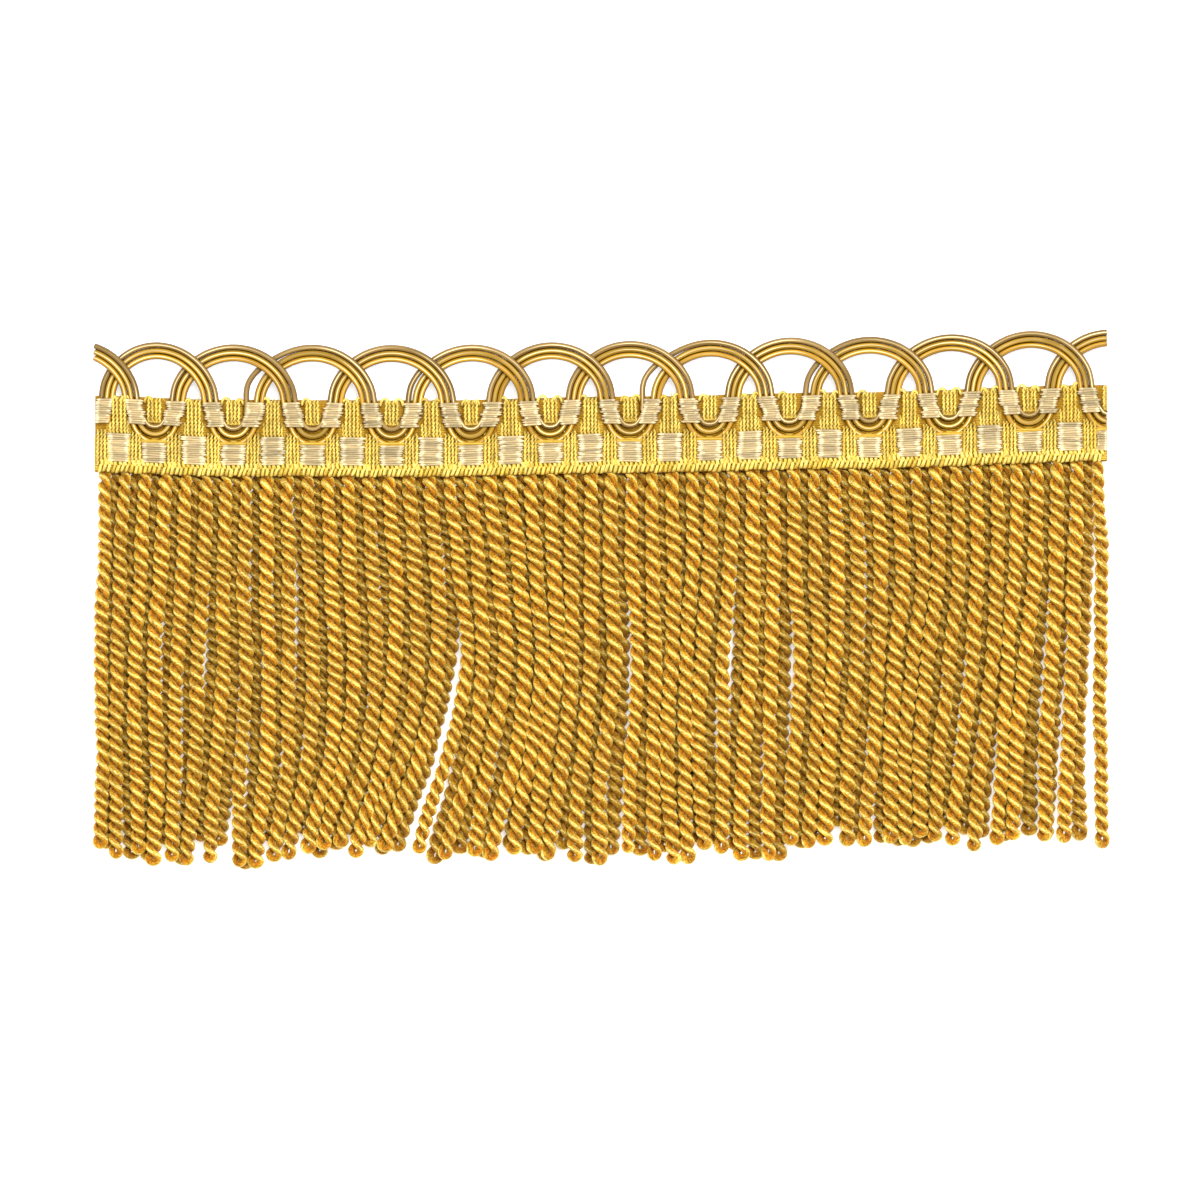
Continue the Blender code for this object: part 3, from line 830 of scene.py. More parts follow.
def closed_slab(columns, rows):
    """A slab over the trim's length.

    Returns its mesh and, for each point, the place along the trim, the share
    of the slab's depth, and whether the point lies on the face.
    """
    bm = bmesh.new()
    bmesh.ops.create_grid(bm, x_segments=columns, y_segments=rows, size=0.5)
    raised = bmesh.ops.extrude_face_region(bm, geom=bm.faces[:])
    lifted = [item for item in raised["geom"] if isinstance(item, bmesh.types.BMVert)]
    bmesh.ops.translate(bm, vec=(0, 0, 1), verts=lifted)
    bmesh.ops.recalc_face_normals(bm, faces=bm.faces)
    bm.verts.index_update()
    places = np.array([vertex.co[:] for vertex in bm.verts])
    x = LEFT_END + (places[:, 0] + 0.5) * LENGTH
    return bm, x, places[:, 1] + 0.5, places[:, 2] > 0.5


def build_ground():
    """A closed slab whose face follows the weave's levels."""
    bm, x, share, on_face = closed_slab(GROUND_COLUMNS, GROUND_ROWS)
    height = share * HEADING_HEIGHT * GROUND_REACH
    face, underside, raised = ground_levels(x, height)
    z = np.where(on_face, face, underside)
    points = np.stack([x, heading_y(x, height), z], axis=1)
    ground = make_piece(
        "braid_ground", bm, points, ground_material(), BRAID_SLOT, raised=raised
    )
    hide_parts("heading_band")


def upright_route(x, table, chance, samples=24):
    """A yarn's route up the heading: heights and levels from a table."""
    heights = np.linspace(table[0][0], table[-1][0], samples)
    levels = np.interp(heights, *np.array(table).T)
    sway = chance.uniform(-0.05, 0.05) * MM
    xs = x + sway * np.sin(np.linspace(0, math.pi * 2, samples))
    return np.stack([xs, heading_y(xs, heights), levels], axis=1)


def rib_yarns(feet_or_gaps, offsets, table, seed):
    """Twisted yarns at some offsets from each of a list of places."""
    chance = random.Random(seed)
    half = fringe_sizes().rib_width / 2
    yarns = []
    for place in feet_or_gaps:
        for offset in offsets:
            x = place + offset + chance.uniform(-RIB_STRAY, RIB_STRAY) * MM
            if not LEFT_END + half < x < RIGHT_END - half:
                continue
            route = upright_route(x, table, chance)
            yarns.append(Yarn(route, half, half, chance.random(), chance.choice(RIB_KINDS)))
    return yarns


def build_ribs():
    """Columns under the feet, rib pairs between them, blocks at the crossings."""
    feet, turns, crossings = yarn_places()
    groups = (
        ("rib_columns", feet, COLUMN_OFFSETS, COLUMN_ROUTE, 31),
        ("rib_pairs_over_turns", turns, RIB_OFFSETS, TURN_RIB_ROUTE, 32),
        ("rib_pairs_at_crossings", crossings, RIB_OFFSETS, CROSS_RIB_ROUTE, 33),
        ("rib_blocks", crossings, BLOCK_OFFSETS, BLOCK_ROUTE, 34),
    )
    for name, places, offsets, table, seed in groups:
        length = table[-1][0] - table[0][0]
        turns_along = length / fringe_sizes().rib_pitch
        rings = max(int(turns_along * RIB_RINGS), RIB_RINGS)
        master = swept_tube(name + "_master", RIB_SIDES, rings, height=0.55, turns=turns_along)
        yarns = rib_yarns(places, offsets, table, seed)
        make_yarns(name, master, yarns, braid_material(), BRAID_SLOT)
        bpy.data.meshes.remove(master)


def float_route(middle, reach, profile, height, chance):
    """A filament's route across, cut off at the trim's ends."""
    low = max(middle - reach - chance.uniform(-1, 1) * FLOAT_RAGGEDNESS, LEFT_END + END_MARGIN)
    high = min(middle + reach + chance.uniform(-1, 1) * FLOAT_RAGGEDNESS, RIGHT_END - END_MARGIN)
    xs = np.linspace(low, high, 22)
    levels = np.interp(np.abs(xs - middle), *np.array(profile).T)
    tilt = chance.uniform(-0.06, 0.06) * MM
    heights = height + tilt * (xs - middle) / reach
    return np.stack([xs, heading_y(xs, heights), levels], axis=1)


def float_filaments(middles, reach, profile, heights, slanted, seed):
    """Filaments of each float, one above another."""
    chance = random.Random(seed)
    pitch = fringe_sizes().filament_pitch
    count = round((heights[1] - heights[0]) / pitch) + 1
    yarns = []
    for number, middle in enumerate(middles):
        tone = chance.random()
        lean = (-1.0 if number % 2 else 1.0) if slanted else 0.0
        for height in np.linspace(*heights, count):
            place = middle + lean * leg_shift(height)
            yarns.append(Yarn(
                float_route(place, reach, profile, height, chance),
                pitch * FILAMENT_SECTION[0],
                pitch * FILAMENT_SECTION[1],
                0.25 * tone + 0.75 * chance.random(),
                taper=0.4,
                taper_length=0.14,
            ))
    return yarns


def build_floats():
    """Ivory floats over the gimps, and the lower row between the columns."""
    feet, turns, crossings = yarn_places()
    groups = (
        ("floats_over_gimps", feet, UPPER_FLOAT_REACH, UPPER_FLOAT, UPPER_FLOAT_HEIGHTS, True, 41),
        ("floats_at_crossings", crossings, LOWER_FLOAT_REACH, LOWER_FLOAT, CROSS_FLOAT_HEIGHTS, False, 42),
        ("floats_under_turns", turns, LOWER_FLOAT_REACH, LOWER_FLOAT, TURN_FLOAT_HEIGHTS, False, 43),
    )
    master = swept_tube("filament_master", 6, 12)
    for name, middles, reach, profile, heights, slanted, seed in groups:
        yarns = float_filaments(middles, reach, profile, heights, slanted, seed)
        make_yarns(name, master, yarns, float_material(), BRAID_SLOT)
    bpy.data.meshes.remove(master)


# The border's two rows of beads, by lean: height over the lower edge, level
BEAD_ROUTES = {
    1.0: (
        (1.8, 2.7),
        (1.65, 2.95),
        (1.3, 3.06),
        (0.9, 2.95),
        (0.75, 2.7),
    ),
    -1.0: (
        (1.05, 2.8),
        (0.9, 3.05),
        (0.5, 3.14),
        (0.1, 2.95),
        (-0.08, 2.6),
        (0.02, 2.25),
    ),
}
# Loops at the top of a rib: distance from its middle, height, level
LOOP_ROUTE = (
    (-1.35, 10.3, 2.0),
    (-1.25, 10.8, 2.3),
    (-0.95, 11.15, 2.45),
    (-0.6, 11.1, 2.45),
    (-0.45, 10.7, 2.4),
    (-0.45, 10.3, 2.1),
)


LOOP_FOOT = 10.3 * MM
LOOP_SECTION = (0.27 * MM, 0.22 * MM)
LOOP_KINDS = (0.0, 0.0, 0.2, 0.4)
BEAD_KINDS = (0.0, 0.1, 0.3, 0.5)
# Stray fibres: how many on each rib, half their width, height of their feet
FUZZ_COUNT = 7
FUZZ_WIDTH = 0.035 * MM
FUZZ_FOOT = 10.6 * MM


def build_edges():
    """Beads along the lower border, loops and stray fibres at the top."""
    chance = random.Random(51)
    pitch = fringe_sizes().bead_pitch
    count = int((LENGTH - pitch) / pitch)
    beads = []
    for side, table in BEAD_ROUTES.items():
        route = np.array(table) * MM
        for index in range(count):
            middle = (index - (count - 1) / 2 + side / 4) * pitch
            lean = side * chance.uniform(0.1, 0.34) * MM * np.linspace(-1, 1, len(route))
            xs = middle + chance.uniform(-0.05, 0.05) * MM + lean
            heights = route[:, 0] + chance.uniform(-0.14, 0.14) * MM
            beads.append(Yarn(
                np.stack([xs, heading_y(xs, heights), route[:, 1]], axis=1),
                pitch * chance.uniform(0.46, 0.6),
                pitch * 0.34,
                chance.random(),
                chance.choice(BEAD_KINDS),
                side=(1.0, 0.0, 0.0),
                taper=0.5,
            ))
    master = swept_tube("bead_master", 7, 9, height=0.8, turns=0.6)
    make_yarns("border_beads", master, beads, braid_material(), BRAID_SLOT)
    loops = []
    for index in range(FOOT_COUNT - 1):
        for mirror in (1, -1):
            route = np.array(LOOP_ROUTE) * MM
            if mirror < 0 and chance.random() < 0.5:
                continue
            size = chance.uniform(0.9, 1.45)
            xs = gap_middle(index) + mirror * route[:, 0] * size
            top = LOOP_FOOT + (route[:, 1] - LOOP_FOOT) * size
            points = np.stack([xs, heading_y(xs, top), route[:, 2]], axis=1)
            loops.append(Yarn(points, *LOOP_SECTION, chance.random(), chance.choice(LOOP_KINDS)))
    make_yarns("selvedge_loops", master, loops, braid_material(), BRAID_SLOT)
    bpy.data.meshes.remove(master)
    build_fuzz(chance)


def build_fuzz(chance):
    """Short stray fibres over the tops of the ribs."""
    fibres = []
    for index in range(FOOT_COUNT - 1):
        for _ in range(FUZZ_COUNT):
            x = gap_middle(index) + chance.uniform(-1.5, 1.5) * MM
            reach = chance.uniform(0.4, 1.1) * MM
            swing = chance.uniform(-0.6, 0.6) * MM
            share = np.linspace(0.0, 1.0, 7)
            xs = x + swing * share * share
            heights = FUZZ_FOOT + reach * share
            levels = (2.2 + chance.uniform(-0.3, 0.4) * share) * MM
            points = np.stack([xs, heading_y(xs, heights), levels], axis=1)
            fibres.append(Yarn(points, FUZZ_WIDTH, FUZZ_WIDTH, chance.random(), taper=0.4))
    master = swept_tube("fuzz_master", 4, 6)
    make_yarns("selvedge_fuzz", master, fibres, braid_material(), BRAID_SLOT)
    bpy.data.meshes.remove(master)


# The scallops

def leg_shift(height):
    """How far a leg has slanted towards its arch's middle at a height."""
    above = height - FOOT_LEVEL
    return LEG_SLANT * above * math.exp(-((above / SLANT_HEIGHT) ** 2))


def bundle_points(first_foot):
    """Fine points of a bundle's middle line.

    Columns: place, height, direction of travel in radians, lift from 0 to 1,
    progress through the repeat, first foot of the arch.
    """
    rows = []
    if first_foot == 0:
        for height in np.linspace(FOOT_LEVEL - STUB, FOOT_LEVEL, 5)[:-1]:
            rows.append((foot(0), height, math.pi / 2, 0.0, 0.0, 0))
    index = first_foot
    while foot(index) < RIGHT_END:
        left, right = foot(index), foot(index + ARCH_SPAN)
        centre, half = (left + right) / 2, (right - left) / 2
        for degrees in range(180, -1, -ANGLE_STEP):
            angle = math.radians(degrees)
            travel = math.atan2(-ARCH_RISE * math.cos(angle), half * math.sin(angle))
            lift = (1 - smooth(LIFT_STARTS[1], LIFT_STARTS[0], degrees)) * smooth(
                LIFT_ENDS[1], LIFT_ENDS[0], degrees
            )
            height = FOOT_LEVEL + ARCH_RISE * math.sin(angle)
            rows.append((
                centre + (half - leg_shift(height)) * math.cos(angle),
                height,
                travel,
                lift,
                1 - degrees / 180,
                index,
            ))
        left, right = right, foot(index + REPEAT)
        centre, half = (left + right) / 2, (right - left) / 2
        for degrees in range(180 + ANGLE_STEP, 360, ANGLE_STEP):
            angle = math.radians(degrees)
            travel = math.atan2(TURN_DROP * math.cos(angle), -half * math.sin(angle))
            height = FOOT_LEVEL + TURN_DROP * math.sin(angle)
            rows.append((
                centre + (half + leg_shift(height)) * math.cos(angle),
                height,
                travel,
                0.0,
                1 + (degrees - 180) / 360,
                index,
            ))
        index += REPEAT
    return np.array(rows)


def cut_to_length(route):
    """The stretch of a route between the trim's two cut ends."""
    low, high = LEFT_END + END_MARGIN, RIGHT_END - END_MARGIN
    inside = np.flatnonzero((route[:, 0] > low) & (route[:, 0] < high))
    first, last = inside[0], inside[-1]
    kept = [route[first:last + 1]]
    for edge, outer, inner, at_front in ((low, first - 1, first, True), (high, last + 1, last, False)):
        if 0 <= outer < len(route):
            a, b = route[inner], route[outer]
            point = a + (b - a) * (edge - a[0]) / (b[0] - a[0])
            kept.insert(0 if at_front else len(kept), point[None, :])
    return np.concatenate(kept)


def gimp_route(rows, offset):
    """Route of one gimp, a number of gimp widths to the left of travel."""
    x, height, travel, lift, progress, arch = rows.T
    sizes = fringe_sizes()
    spread = offset * sizes.gimp_diameter * read_table(GIMP_SPREAD, progress)
    if offset > 0:
        for first_foot, stray in STRAYS.items():
            bulge = np.exp(-(((progress - STRAY_PEAK) / STRAY_WIDTH) ** 2))
            spread = spread + np.where(arch == first_foot, stray * bulge, 0.0)
    xs = x - np.sin(travel) * spread
    heights = height + np.cos(travel) * spread
    in_turn = smooth(1.0, 1.15, progress) * (1 - smooth(1.35, 1.5, progress))
    levels = GIMP_LEVEL + lift * GIMP_LIFT - in_turn * 0.12 * MM
    route = np.stack([xs, heading_y(xs, heights), levels], axis=1)
    return evenly_spaced(cut_to_length(route), GIMP_RINGS + 1)


def build_gimps():
    """Two bundles of three gimps each."""
    chance = random.Random(61)
    half = fringe_sizes().gimp_diameter / 2
    master = swept_tube("gimp_master", GIMP_SIDES, GIMP_RINGS)
    bundles = (
        ("gimp_cords_odd", "scallop_gimp_odd", 0),
        ("gimp_cords_even", "scallop_gimp_even", -ARCH_SPAN + 1),
    )
    for name, node, first_foot in bundles:
        rows = bundle_points(first_foot)
        yarns = []
        for number in range(GIMP_COUNT):
            route = gimp_route(rows, number - (GIMP_COUNT - 1) / 2)
            yarns.append(Yarn(route, half, half, chance.random(), number / 2))
        bundle = make_yarns(name, master, yarns, gimp_material(), GIMP_SLOT)
        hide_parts(node)
    bpy.data.meshes.remove(master)


# The skirt

def pushed_right(places):
    """Push crowded cords to the right, and back from the trim's right end."""
    half = CORD_WIDTH / 2
    low = LEFT_END + half
    placed = []
    for x in places:
        low = max(low, x)
        placed.append(low)
        low += CORD_SPACING
    high = RIGHT_END - half
    for index in reversed(range(len(placed))):
        placed[index] = min(placed[index], high)
        high = placed[index] - CORD_SPACING
    return placed


def spaced_out(places):
    """Keep neighbouring cords a full spacing apart, pushing both ways alike."""
    rightward = pushed_right(places)
    leftward = [-x for x in reversed(pushed_right([-x for x in reversed(places)]))]
    return [(a + b) / 2 for a, b in zip(rightward, leftward)]


def parting_push(root, depth):
    """How far the partings push a cord aside at one of the lean's depths."""
    push = 0.0
    for row in PARTINGS:
        distance = root - row[0]
        fade = math.exp(-abs(distance) / PARTING_REACH)
        push += math.copysign(row[depth] / 2 * fade, distance)
    return push


def row_routes(count, seed):
    """Places of a row's cords at each depth of the lean table, and lengths."""
    chance = random.Random(seed)
    pitch = LENGTH / max(FRONT_COUNT, BACK_COUNT)
    roots = [(index - (count - 1) / 2) * pitch for index in range(count)]
    leans = [read_table(LEAN, root) for root in roots]
    levels = [roots]
    for depth in range(1, len(LEAN_DEPTHS)):
        spread = ROUTE_SPREAD[depth]
        wanted = [
            root
            + lean[depth - 1]
            + parting_push(root, depth)
            + chance.uniform(-spread, spread)
            for root, lean in zip(roots, leans)
        ]
        levels.append(spaced_out(wanted))
    lengths = [
        SKIRT_LENGTH - lean[-1] + chance.uniform(-LENGTH_SPREAD, LENGTH_SPREAD)
        for lean in leans
    ]
    return list(zip(*levels)), lengths


def route_places(route, shares):
    """Places along the trim at shares of a cord's length, on a soft curve."""
    route = np.array(route)
    last = len(LEAN_DEPTHS) - 1
    step = np.clip((shares * last).astype(int), 0, last - 1)
    part = shares * last - step
    before = route[np.maximum(step - 1, 0)]
    low, high = route[step], route[step + 1]
    after = route[np.minimum(step + 2, last)]
    rise_low, rise_high = (high - before) / 2, (after - low) / 2
    square, cube = part * part, part * part * part
    return (
        low * (2 * cube - 3 * square + 1)
        + rise_low * (cube - 2 * square + part)
        + high * (3 * square - 2 * cube)
        + rise_high * (cube - square)
    )


def cord_master(name, rings_in_turn, sides):
    """A straight looped cord: a ply down, round the tip and up again."""
    sizes = fringe_sizes()
    radius = sizes.cord_diameter / 4
    shaft = HIDDEN_ROOT + SKIRT_LENGTH - sizes.cord_diameter / 2 * sum(TIP_SECTION[:2])
    twist = S_TWIST * 2 * math.pi * shaft / sizes.cord_pitch
    steps = round(shaft / sizes.cord_pitch * rings_in_turn)
    bm = bmesh.new()
    upright = Matrix.Rotation(math.pi / 2, 4, "Z")
    bmesh.ops.create_circle(bm, segments=sides, radius=radius / 2, matrix=upright)
    stand_section(bm)
    bmesh.ops.translate(bm, vec=(0, 0, radius), verts=bm.verts)
    down = bmesh.ops.spin(
        bm,
        geom=bm.edges[:],
        cent=(0, 0, 0),
        axis=(1, 0, 0),
        dvec=(shaft / steps, 0, 0),
        angle=twist,
        steps=steps,
    )
    across = (0, math.cos(twist), math.sin(twist))
    round_tip = bmesh.ops.spin(
        bm,
        geom=down["geom_last"],
        cent=(shaft, 0, 0),
        axis=across,
        angle=math.pi,
        steps=LOOP_STEPS,
    )
    bmesh.ops.spin(
        bm,
        geom=round_tip["geom_last"],
        cent=(0, 0, 0),
        axis=(1, 0, 0),
        dvec=(-shaft / steps, 0, 0),
        angle=-twist,
        steps=steps,
    )
    return closed_master(name, bm), shaft, twist


def full_cord(places, shaft, twist):
    """The master's thin ply swollen to its section.

    Returns its points, how far out they lie in the ply from -1 to 1, and the
    direction of the fibres.
    """
    sizes = fringe_sizes()
    radius = sizes.cord_diameter / 4
    s, u, v = places.T
    held = np.minimum(s, shaft)
    turn = twist * held / shaft
    radial = -u * np.sin(turn) + v * np.cos(turn)
    forward = np.maximum(s - shaft, 0.0)
    reach = np.hypot(radial, forward)
    outward = (reach - radius) * 2 / radius
    sideways = (u * np.cos(turn) + v * np.sin(turn)) * 2 / radius

    tip = smooth(shaft - TIP_LENGTH, shaft, s)
    middle, depth, width = (
        (low + (high - low) * tip) * sizes.cord_diameter / 2
        for low, high in zip(SHAFT_SECTION, TIP_SECTION)
    )
    swollen = (middle + depth * outward) / reach
    side = width * sideways
    full = np.stack([
        held + forward * swollen,
        -radial * swollen * np.sin(turn) + side * np.cos(turn),
        radial * swollen * np.cos(turn) + side * np.sin(turn),
    ], axis=1)

    slant = math.hypot(1.0, 2 * math.pi * radius / sizes.cord_pitch)
    round_tip = np.arctan2(forward, radial) * radius
    gone = np.where(radial >= 0, held, 2 * shaft - held) * slant + round_tip
    laid = np.arctan2(sideways, outward) + PLY_TWIST * gone
    fibre = np.stack([radius * np.sin(laid), radius * np.cos(laid), gone], axis=1)
    return full, outward, fibre


def shaped_cord(places, shaft, twist, root, swell, chance):
    """The straight cord, flat at its root, uneven in girth and in twist.

    The cords at the left are twisted tighter than the others.
    """
    s, u, v = places.T
    whole = HIDDEN_ROOT + SKIRT_LENGTH
    above_tip = np.clip(1.0 - s / shaft, 0.0, 1.0)
    turn = chance.uniform(-TIP_TURN_SPREAD, TIP_TURN_SPREAD)
    turn = turn + chance.uniform(-ROOT_TURN_SPREAD, ROOT_TURN_SPREAD) * above_tip
    tighter = smooth(-EXTRA_TURNS_FROM, -EXTRA_TURNS_UP_TO, -root)
    turn = turn + 2 * math.pi * EXTRA_TURNS * tighter * above_tip
    angle = math.pi / 2 - twist + turn
    phase = chance.uniform(0.0, 2 * math.pi)
    waves = np.sin(2 * math.pi * s / GIRTH_WAVE_LENGTH + phase)
    girth = swell * chance.uniform(*GIRTH_SPREAD) * (1.0 + GIRTH_WAVE * waves)
    girth = girth * (ROOT_GIRTH + (1.0 - ROOT_GIRTH) * smooth(0.0, ROOT_GIRTH_LENGTH, s))
    side = (u * np.cos(angle) - v * np.sin(angle)) * girth
    up = (u * np.sin(angle) + v * np.cos(angle)) * girth
    flatness = smooth(HIDDEN_ROOT - 0.4 * MM, HIDDEN_ROOT + ROOT_RISE, s)
    up *= ROOT_FLATNESS + (1.0 - ROOT_FLATNESS) * flatness
    phase = chance.uniform(0.0, 2 * math.pi)
    waves = np.sin(2 * math.pi * s / PITCH_WAVE_LENGTH + phase)
    inside = smooth(0.0, PITCH_WAVE_LENGTH / 2, s) * smooth(0.0, PITCH_WAVE_LENGTH / 2, whole - s)
    return np.stack([(s + PITCH_WAVE * waves * inside) / whole, side, up], axis=1)


def cord_route(route, length, root_level, level, phase, sway_share):
    """Points down a cord, from under the heading's lip to its tip."""
    gone = np.linspace(0.0, HIDDEN_ROOT + length, ROUTE_SAMPLES)
    below = gone - HIDDEN_ROOT
    xs = route_places(route, np.clip(below / length, 0.0, 1.0))
    root_y = heading_y(route[0], -STRIP_OVERHANG)
    rise = smooth(-0.3 * MM, ROOT_RISE, below)
    wave = CORD_WAVE_HEIGHT * (1 + np.sin(2 * math.pi * gone / CORD_WAVE_LENGTH + phase)) / 2
    levels = root_level + (level - root_level) * rise + wave * rise
    for number, (sway, sway_length) in enumerate(SWAYS):
        turn = 2 * math.pi * gone / sway_length + (3 + 4 * number) * phase
        xs = xs + sway_share * sway * np.sin(turn) * smooth(0.0, sway_length / 3, below)
    return np.stack([xs, root_y - below, levels], axis=1)


def build_skirt():
    """Both rows of looped cords, each joined into a few pieces."""
    material = cord_material()
    for row, values in SKIRT_ROWS.items():
        count, seed, root_level, level, rings, sides, portions, swell, sway = values
        routes, lengths = row_routes(count, seed)
        mesh, shaft, twist = cord_master(row + "_cord_master", rings, sides)
        base, crest, fibre = full_cord(vertex_places(mesh), shaft, twist)
        chance = random.Random(seed + 100)
        start = 0
        for portion, share in enumerate(portions):
            bm = bmesh.new()
            places, fibres, tones = [], [], []
            for index in range(start, start + share):
                bm.from_mesh(mesh)
                phase = chance.uniform(0.0, 2 * math.pi)
                high = level + chance.uniform(0.0, LEVEL_SPREAD)
                route, length = routes[index], lengths[index]
                if row == "back" and chance.random() < SHORT_SHARE:
                    length -= chance.uniform(*SHORTER_BY)
                line = cord_route(route, length, root_level, high, phase, sway)
                cord = shaped_cord(base, shaft, twist, route[0], swell, chance)
                places.append(bent(cord, line))
                fibres.append(fibre + np.array((0.0, 0.0, index * 0.2)))
                tones.append(np.full(len(base), chance.uniform(*ROW_TONES_WITH_BACK_SHADE[row])))
            name = f"skirt_cords_{row}_{portion + 1}"
            cords = make_piece(
                name,
                bm,
                np.concatenate(places),
                material,
                CORD_SLOT,
                crest=np.tile(crest, share),
                fibre=np.concatenate(fibres),
                tone=np.concatenate(tones),
            )
            if portion == 0:
                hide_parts(f"skirt_{row}_row")
            start += share
        bpy.data.meshes.remove(mesh)


# Tapes that hold the cords' roots: name, underside, top
TAPES = (
    ("tape_back", 0.02 * MM, 0.85 * MM),
    ("tape_front", 1.3 * MM, 1.95 * MM),
)


def build_tapes():
    """Two narrow woven tapes under the heading's lip."""
    for name, low, high in TAPES:
        bm, x, share, on_face = closed_slab(TAPE_COLUMNS, TAPE_ROWS)
        height = -STRIP_OVERHANG + share * (STRIP_REACH + STRIP_OVERHANG)
        z = np.where(on_face, high, low)
        points = np.stack([x, heading_y(x, height), z], axis=1)
        # With no raised attribute, the tapes take the ground material's painted shade colours of the low
        # ground.
        make_piece(name, bm, points, ground_material(), CORD_SLOT)


# The stage

def floor_material():
    """A pale floor that glows a little, as over a light box."""
    finish = Finish("pale_floor", roughness=0.9, specular=0.2)
    finish.shader.inputs["Emission Color"].default_value = (1.0, 1.0, 1.0, 1.0)
    finish.shader.inputs["Emission Strength"].default_value = FLOOR_GLOW
    place = add_node(finish.tree, "ShaderNodeTexCoord").outputs["Object"]
    grain = finish.noise(place, 60.0)
    colour = fringe_colours().floor
    finish.color(finish.mix(grain, tuple(channel * 0.985 for channel in colour), tuple(colour)))
    return finish.material


def build_stage():
    """Camera straight above the face, a pale floor and soft light."""
    scene = bpy.context.scene
    camera = bpy.data.objects.new("camera", bpy.data.cameras.new("camera"))
    camera.data.sensor_width = SENSOR
    camera.data.lens = SENSOR * CAMERA_HEIGHT / VIEW_WIDTH
    camera.data.clip_start = 0.01
    camera.location = (CAMERA_SHIFT, 0.0, CAMERA_HEIGHT)
    scene.collection.objects.link(camera)
    scene.camera = camera

    bm = bmesh.new()
    bmesh.ops.create_grid(bm, x_segments=4, y_segments=4, size=FLOOR_SIZE / 2)
    mesh = bpy.data.meshes.new("floor")
    bm.to_mesh(mesh)
    bm.free()
    floor = bpy.data.objects.new("floor", mesh)
    floor.location = (0.0, 0.0, -FLOOR_DROP)
    mesh.materials.append(floor_material())
    scene.collection.objects.link(floor)

    for name, (place, size, power) in LIGHTS.items():
        light = bpy.data.lights.new(name, "AREA")
        light.shape = "DISK"
        light.size = size
        light.energy = power
        lamp = bpy.data.objects.new(name, light)
        lamp.location = place
        toward = -lamp.location
        lamp.rotation_euler = toward.to_track_quat("-Z", "Y").to_euler()
        scene.collection.objects.link(lamp)

    world = bpy.data.worlds.new("studio")
    world.use_nodes = True
    background = world.node_tree.nodes["Background"]
    background.inputs["Color"].default_value = WORLD_COLOUR
    background.inputs["Strength"].default_value = WORLD_STRENGTH
    scene.world = world
    scene.view_settings.view_transform = "Standard"


# Settings

def length_setting(name, description, default):
    return bpy.props.FloatProperty(
        name=name, description=description, default=default, unit="LENGTH", precision=5
    )


def colour_setting(name, description, default):
    return bpy.props.FloatVectorProperty(
        name=name, description=description, default=default, subtype="COLOR", min=0.0, max=1.0
    )


class FringeSizes(bpy.types.PropertyGroup):
    """Sizes of the yarns."""

    cord_diameter: length_setting("Cord diameter", "Across both plies of a skirt cord", 2.3 * MM)
    cord_pitch: length_setting("Cord pitch", "Length of a full turn of the plies", 3.76 * MM)
    gimp_diameter: length_setting("Gimp diameter", "Across one gimp of the scallops", 0.85 * MM)
    rib_width: length_setting("Rib yarn width", "Across one twisted yarn of the ribs", 0.6 * MM)
    rib_pitch: length_setting("Rib yarn pitch", "Length of a full turn of a rib yarn", 1.25 * MM)
    filament_pitch: length_setting("Filament pitch", "Between filaments of a float", 0.33 * MM)
    bead_pitch: length_setting("Bead pitch", "Between beads of the lower border", 0.67 * MM)


class FringeColours(bpy.types.PropertyGroup):
    """Colours of the yarns."""

    # Cord crest is a painted highlight; cord deep and cord groove are painted shade.
    cord_crest_highlight: colour_setting("Cord crest", "Outermost line of a ply", (0.92, 0.68, 0.2))
    cord_gold: colour_setting("Cord gold", "Beside the crest", (0.58, 0.325, 0.02))
    cord_amber: colour_setting("Cord amber", "Flanks of a ply", (0.5, 0.225, 0.006))
    cord_deep_shade: colour_setting("Cord deep", "Sides of the groove", (0.42, 0.14, 0.002))
    cord_groove_shade: colour_setting("Cord groove", "Bottom of the groove", (0.27, 0.065, 0.001))
    cord_speck: colour_setting("Cord speck", "Orange flecks", (0.44, 0.11, 0.002))
    gimp_outer: colour_setting("Outer gimp", "Outermost gimp of an arch", (0.25, 0.145, 0.036))
    gimp_middle: colour_setting("Middle gimp", "Middle gimp of an arch", (0.4, 0.225, 0.02))
    gimp_inner: colour_setting("Inner gimp", "Innermost gimp of an arch", (0.48, 0.24, 0.01))
    # Gimp edge is painted shade at the sides of a gimp, and gimp highlight a painted highlight along its
    # top.
    gimp_edge_shade: colour_setting("Gimp edge", "Sides of a gimp", (0.06, 0.018, 0.001))
    gimp_highlight: colour_setting("Gimp highlight", "Bright filaments", (1.0, 0.85, 0.5))
    # Ivory shoulder is a painted sheen on the floats.
    ivory_middle: colour_setting("Ivory middle", "Middle of a float", (0.46, 0.345, 0.165))
    ivory_shoulder_sheen: colour_setting("Ivory shoulder", "Shoulders of a float", (0.82, 0.69, 0.43))
    braid_light: colour_setting("Braid light", "Light rib yarns", (0.9, 0.73, 0.18))
    braid_yellow: colour_setting("Braid yellow", "Other rib yarns", (0.74, 0.52, 0.08))
    # Braid amber is a yarn colour and also painted shade on the yarns' sides and in the ground; braid
    # recess is painted shade.
    braid_amber: colour_setting("Braid amber", "Shaded yarns", (0.47, 0.25, 0.018))
    braid_recess_shade: colour_setting("Braid recess", "Ground between the yarns", (0.4, 0.19, 0.012))
    floor: colour_setting("Floor", "The pale floor", (0.92, 0.92, 0.92))


# Operators and panel

class BuildStep:
    """What the operators share: each runs one step of the build."""

    bl_options = {"REGISTER", "UNDO"}

    def execute(self, context):
        self.build()
        return {"FINISHED"}


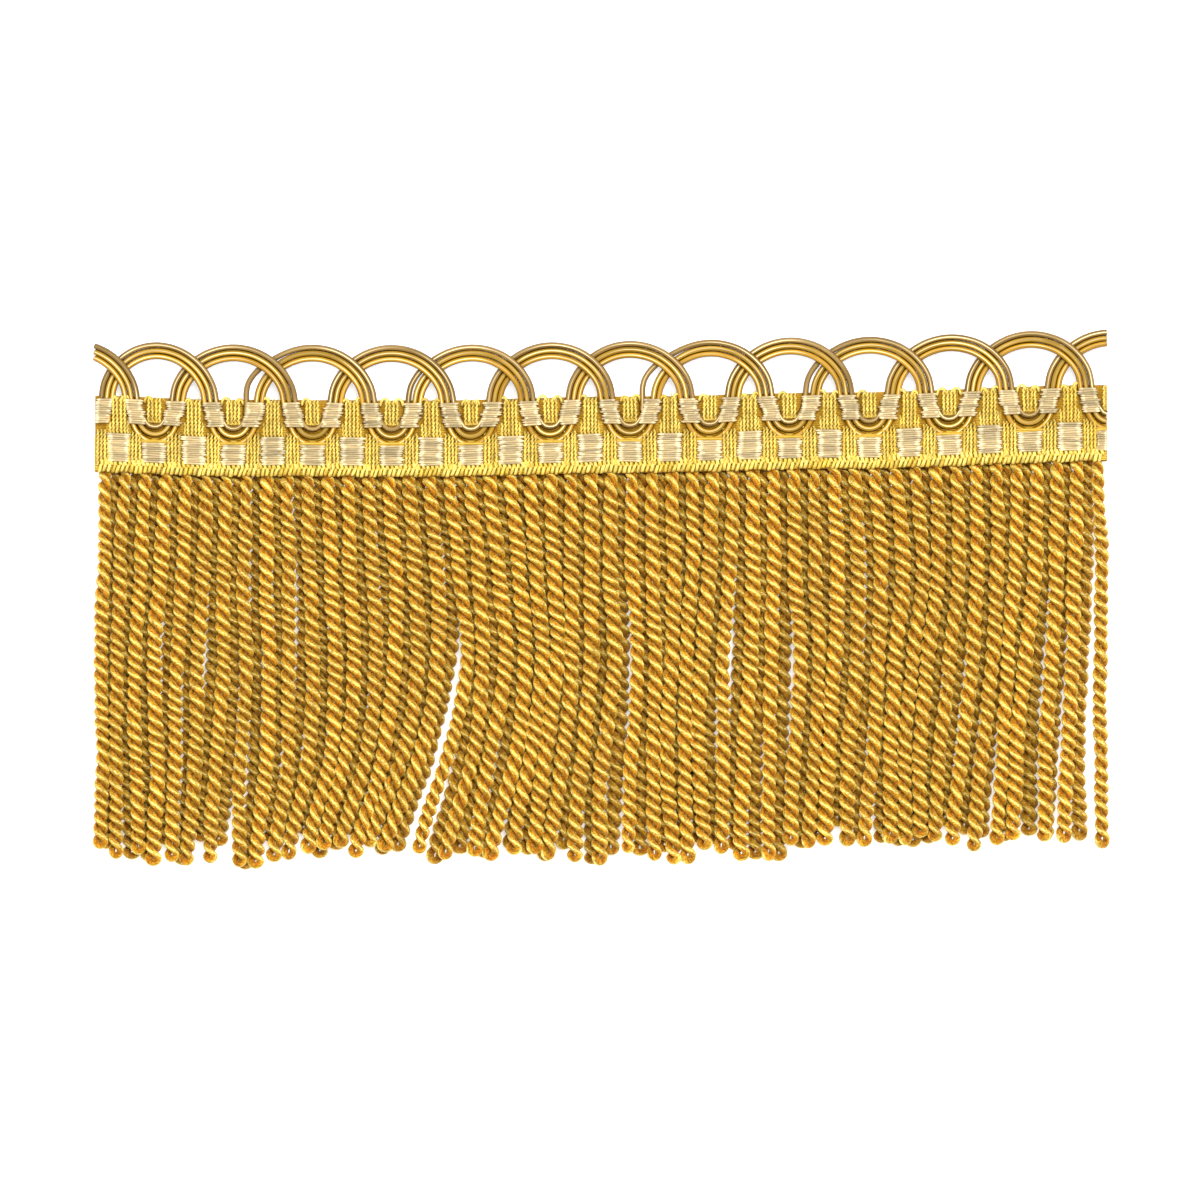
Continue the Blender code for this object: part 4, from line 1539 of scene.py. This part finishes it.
class FRINGE_OT_build_stage(BuildStep, bpy.types.Operator):
    """Add the camera, the floor and the lights."""

    bl_idname = "fringe.build_stage"
    bl_label = "Stage"
    build = staticmethod(build_stage)


class FRINGE_OT_build_ground(BuildStep, bpy.types.Operator):
    """Add the heading's woven ground."""

    bl_idname = "fringe.build_ground"
    bl_label = "Heading ground"
    build = staticmethod(build_ground)


class FRINGE_OT_build_ribs(BuildStep, bpy.types.Operator):
    """Add the yellow rib yarns."""

    bl_idname = "fringe.build_ribs"
    bl_label = "Ribs"
    build = staticmethod(build_ribs)


class FRINGE_OT_build_floats(BuildStep, bpy.types.Operator):
    """Add the ivory floats."""

    bl_idname = "fringe.build_floats"
    bl_label = "Floats"
    build = staticmethod(build_floats)


class FRINGE_OT_build_edges(BuildStep, bpy.types.Operator):
    """Add the border's beads and the selvedge."""

    bl_idname = "fringe.build_edges"
    bl_label = "Edges"
    build = staticmethod(build_edges)


class FRINGE_OT_build_gimps(BuildStep, bpy.types.Operator):
    """Add the scallop gimps."""

    bl_idname = "fringe.build_gimps"
    bl_label = "Gimps"
    build = staticmethod(build_gimps)


class FRINGE_OT_build_tapes(BuildStep, bpy.types.Operator):
    """Add the tapes that hold the cords."""

    bl_idname = "fringe.build_tapes"
    bl_label = "Tapes"
    build = staticmethod(build_tapes)


class FRINGE_OT_build_skirt(BuildStep, bpy.types.Operator):
    """Add the twisted cords of the skirt."""

    bl_idname = "fringe.build_skirt"
    bl_label = "Skirt"
    build = staticmethod(build_skirt)


OPERATORS = (
    FRINGE_OT_build_stage,
    FRINGE_OT_build_ground,
    FRINGE_OT_build_ribs,
    FRINGE_OT_build_floats,
    FRINGE_OT_build_edges,
    FRINGE_OT_build_gimps,
    FRINGE_OT_build_tapes,
    FRINGE_OT_build_skirt,
)


class FRINGE_PT_panel(bpy.types.Panel):
    """Sizes, colours and the steps that build the fringe."""

    bl_label = "Cord Fringe Trim"
    bl_idname = "FRINGE_PT_panel"
    bl_space_type = "VIEW_3D"
    bl_region_type = "UI"
    bl_category = "Fringe"

    def draw(self, context):
        for settings in (context.scene.fringe_sizes, context.scene.fringe_colours):
            for key in settings.bl_rna.properties.keys():
                if key not in ("rna_type", "name"):
                    self.layout.prop(settings, key)
        for operator in OPERATORS:
            self.layout.operator(operator.bl_idname)


CLASSES = (FringeSizes, FringeColours, *OPERATORS, FRINGE_PT_panel)


def register():
    for item in CLASSES:
        bpy.utils.register_class(item)
    bpy.types.Scene.fringe_sizes = bpy.props.PointerProperty(type=FringeSizes)
    bpy.types.Scene.fringe_colours = bpy.props.PointerProperty(type=FringeColours)


def unregister():
    del bpy.types.Scene.fringe_colours
    del bpy.types.Scene.fringe_sizes
    for item in reversed(CLASSES):
        bpy.utils.unregister_class(item)


def main():
    register()
    bpy.ops.fringe.build_stage()
    bpy.ops.fringe.build_ground()
    bpy.ops.fringe.build_ribs()
    bpy.ops.fringe.build_floats()
    bpy.ops.fringe.build_edges()
    bpy.ops.fringe.build_gimps()
    bpy.ops.fringe.build_tapes()
    bpy.ops.fringe.build_skirt()


if __name__ == "__main__":
    main()
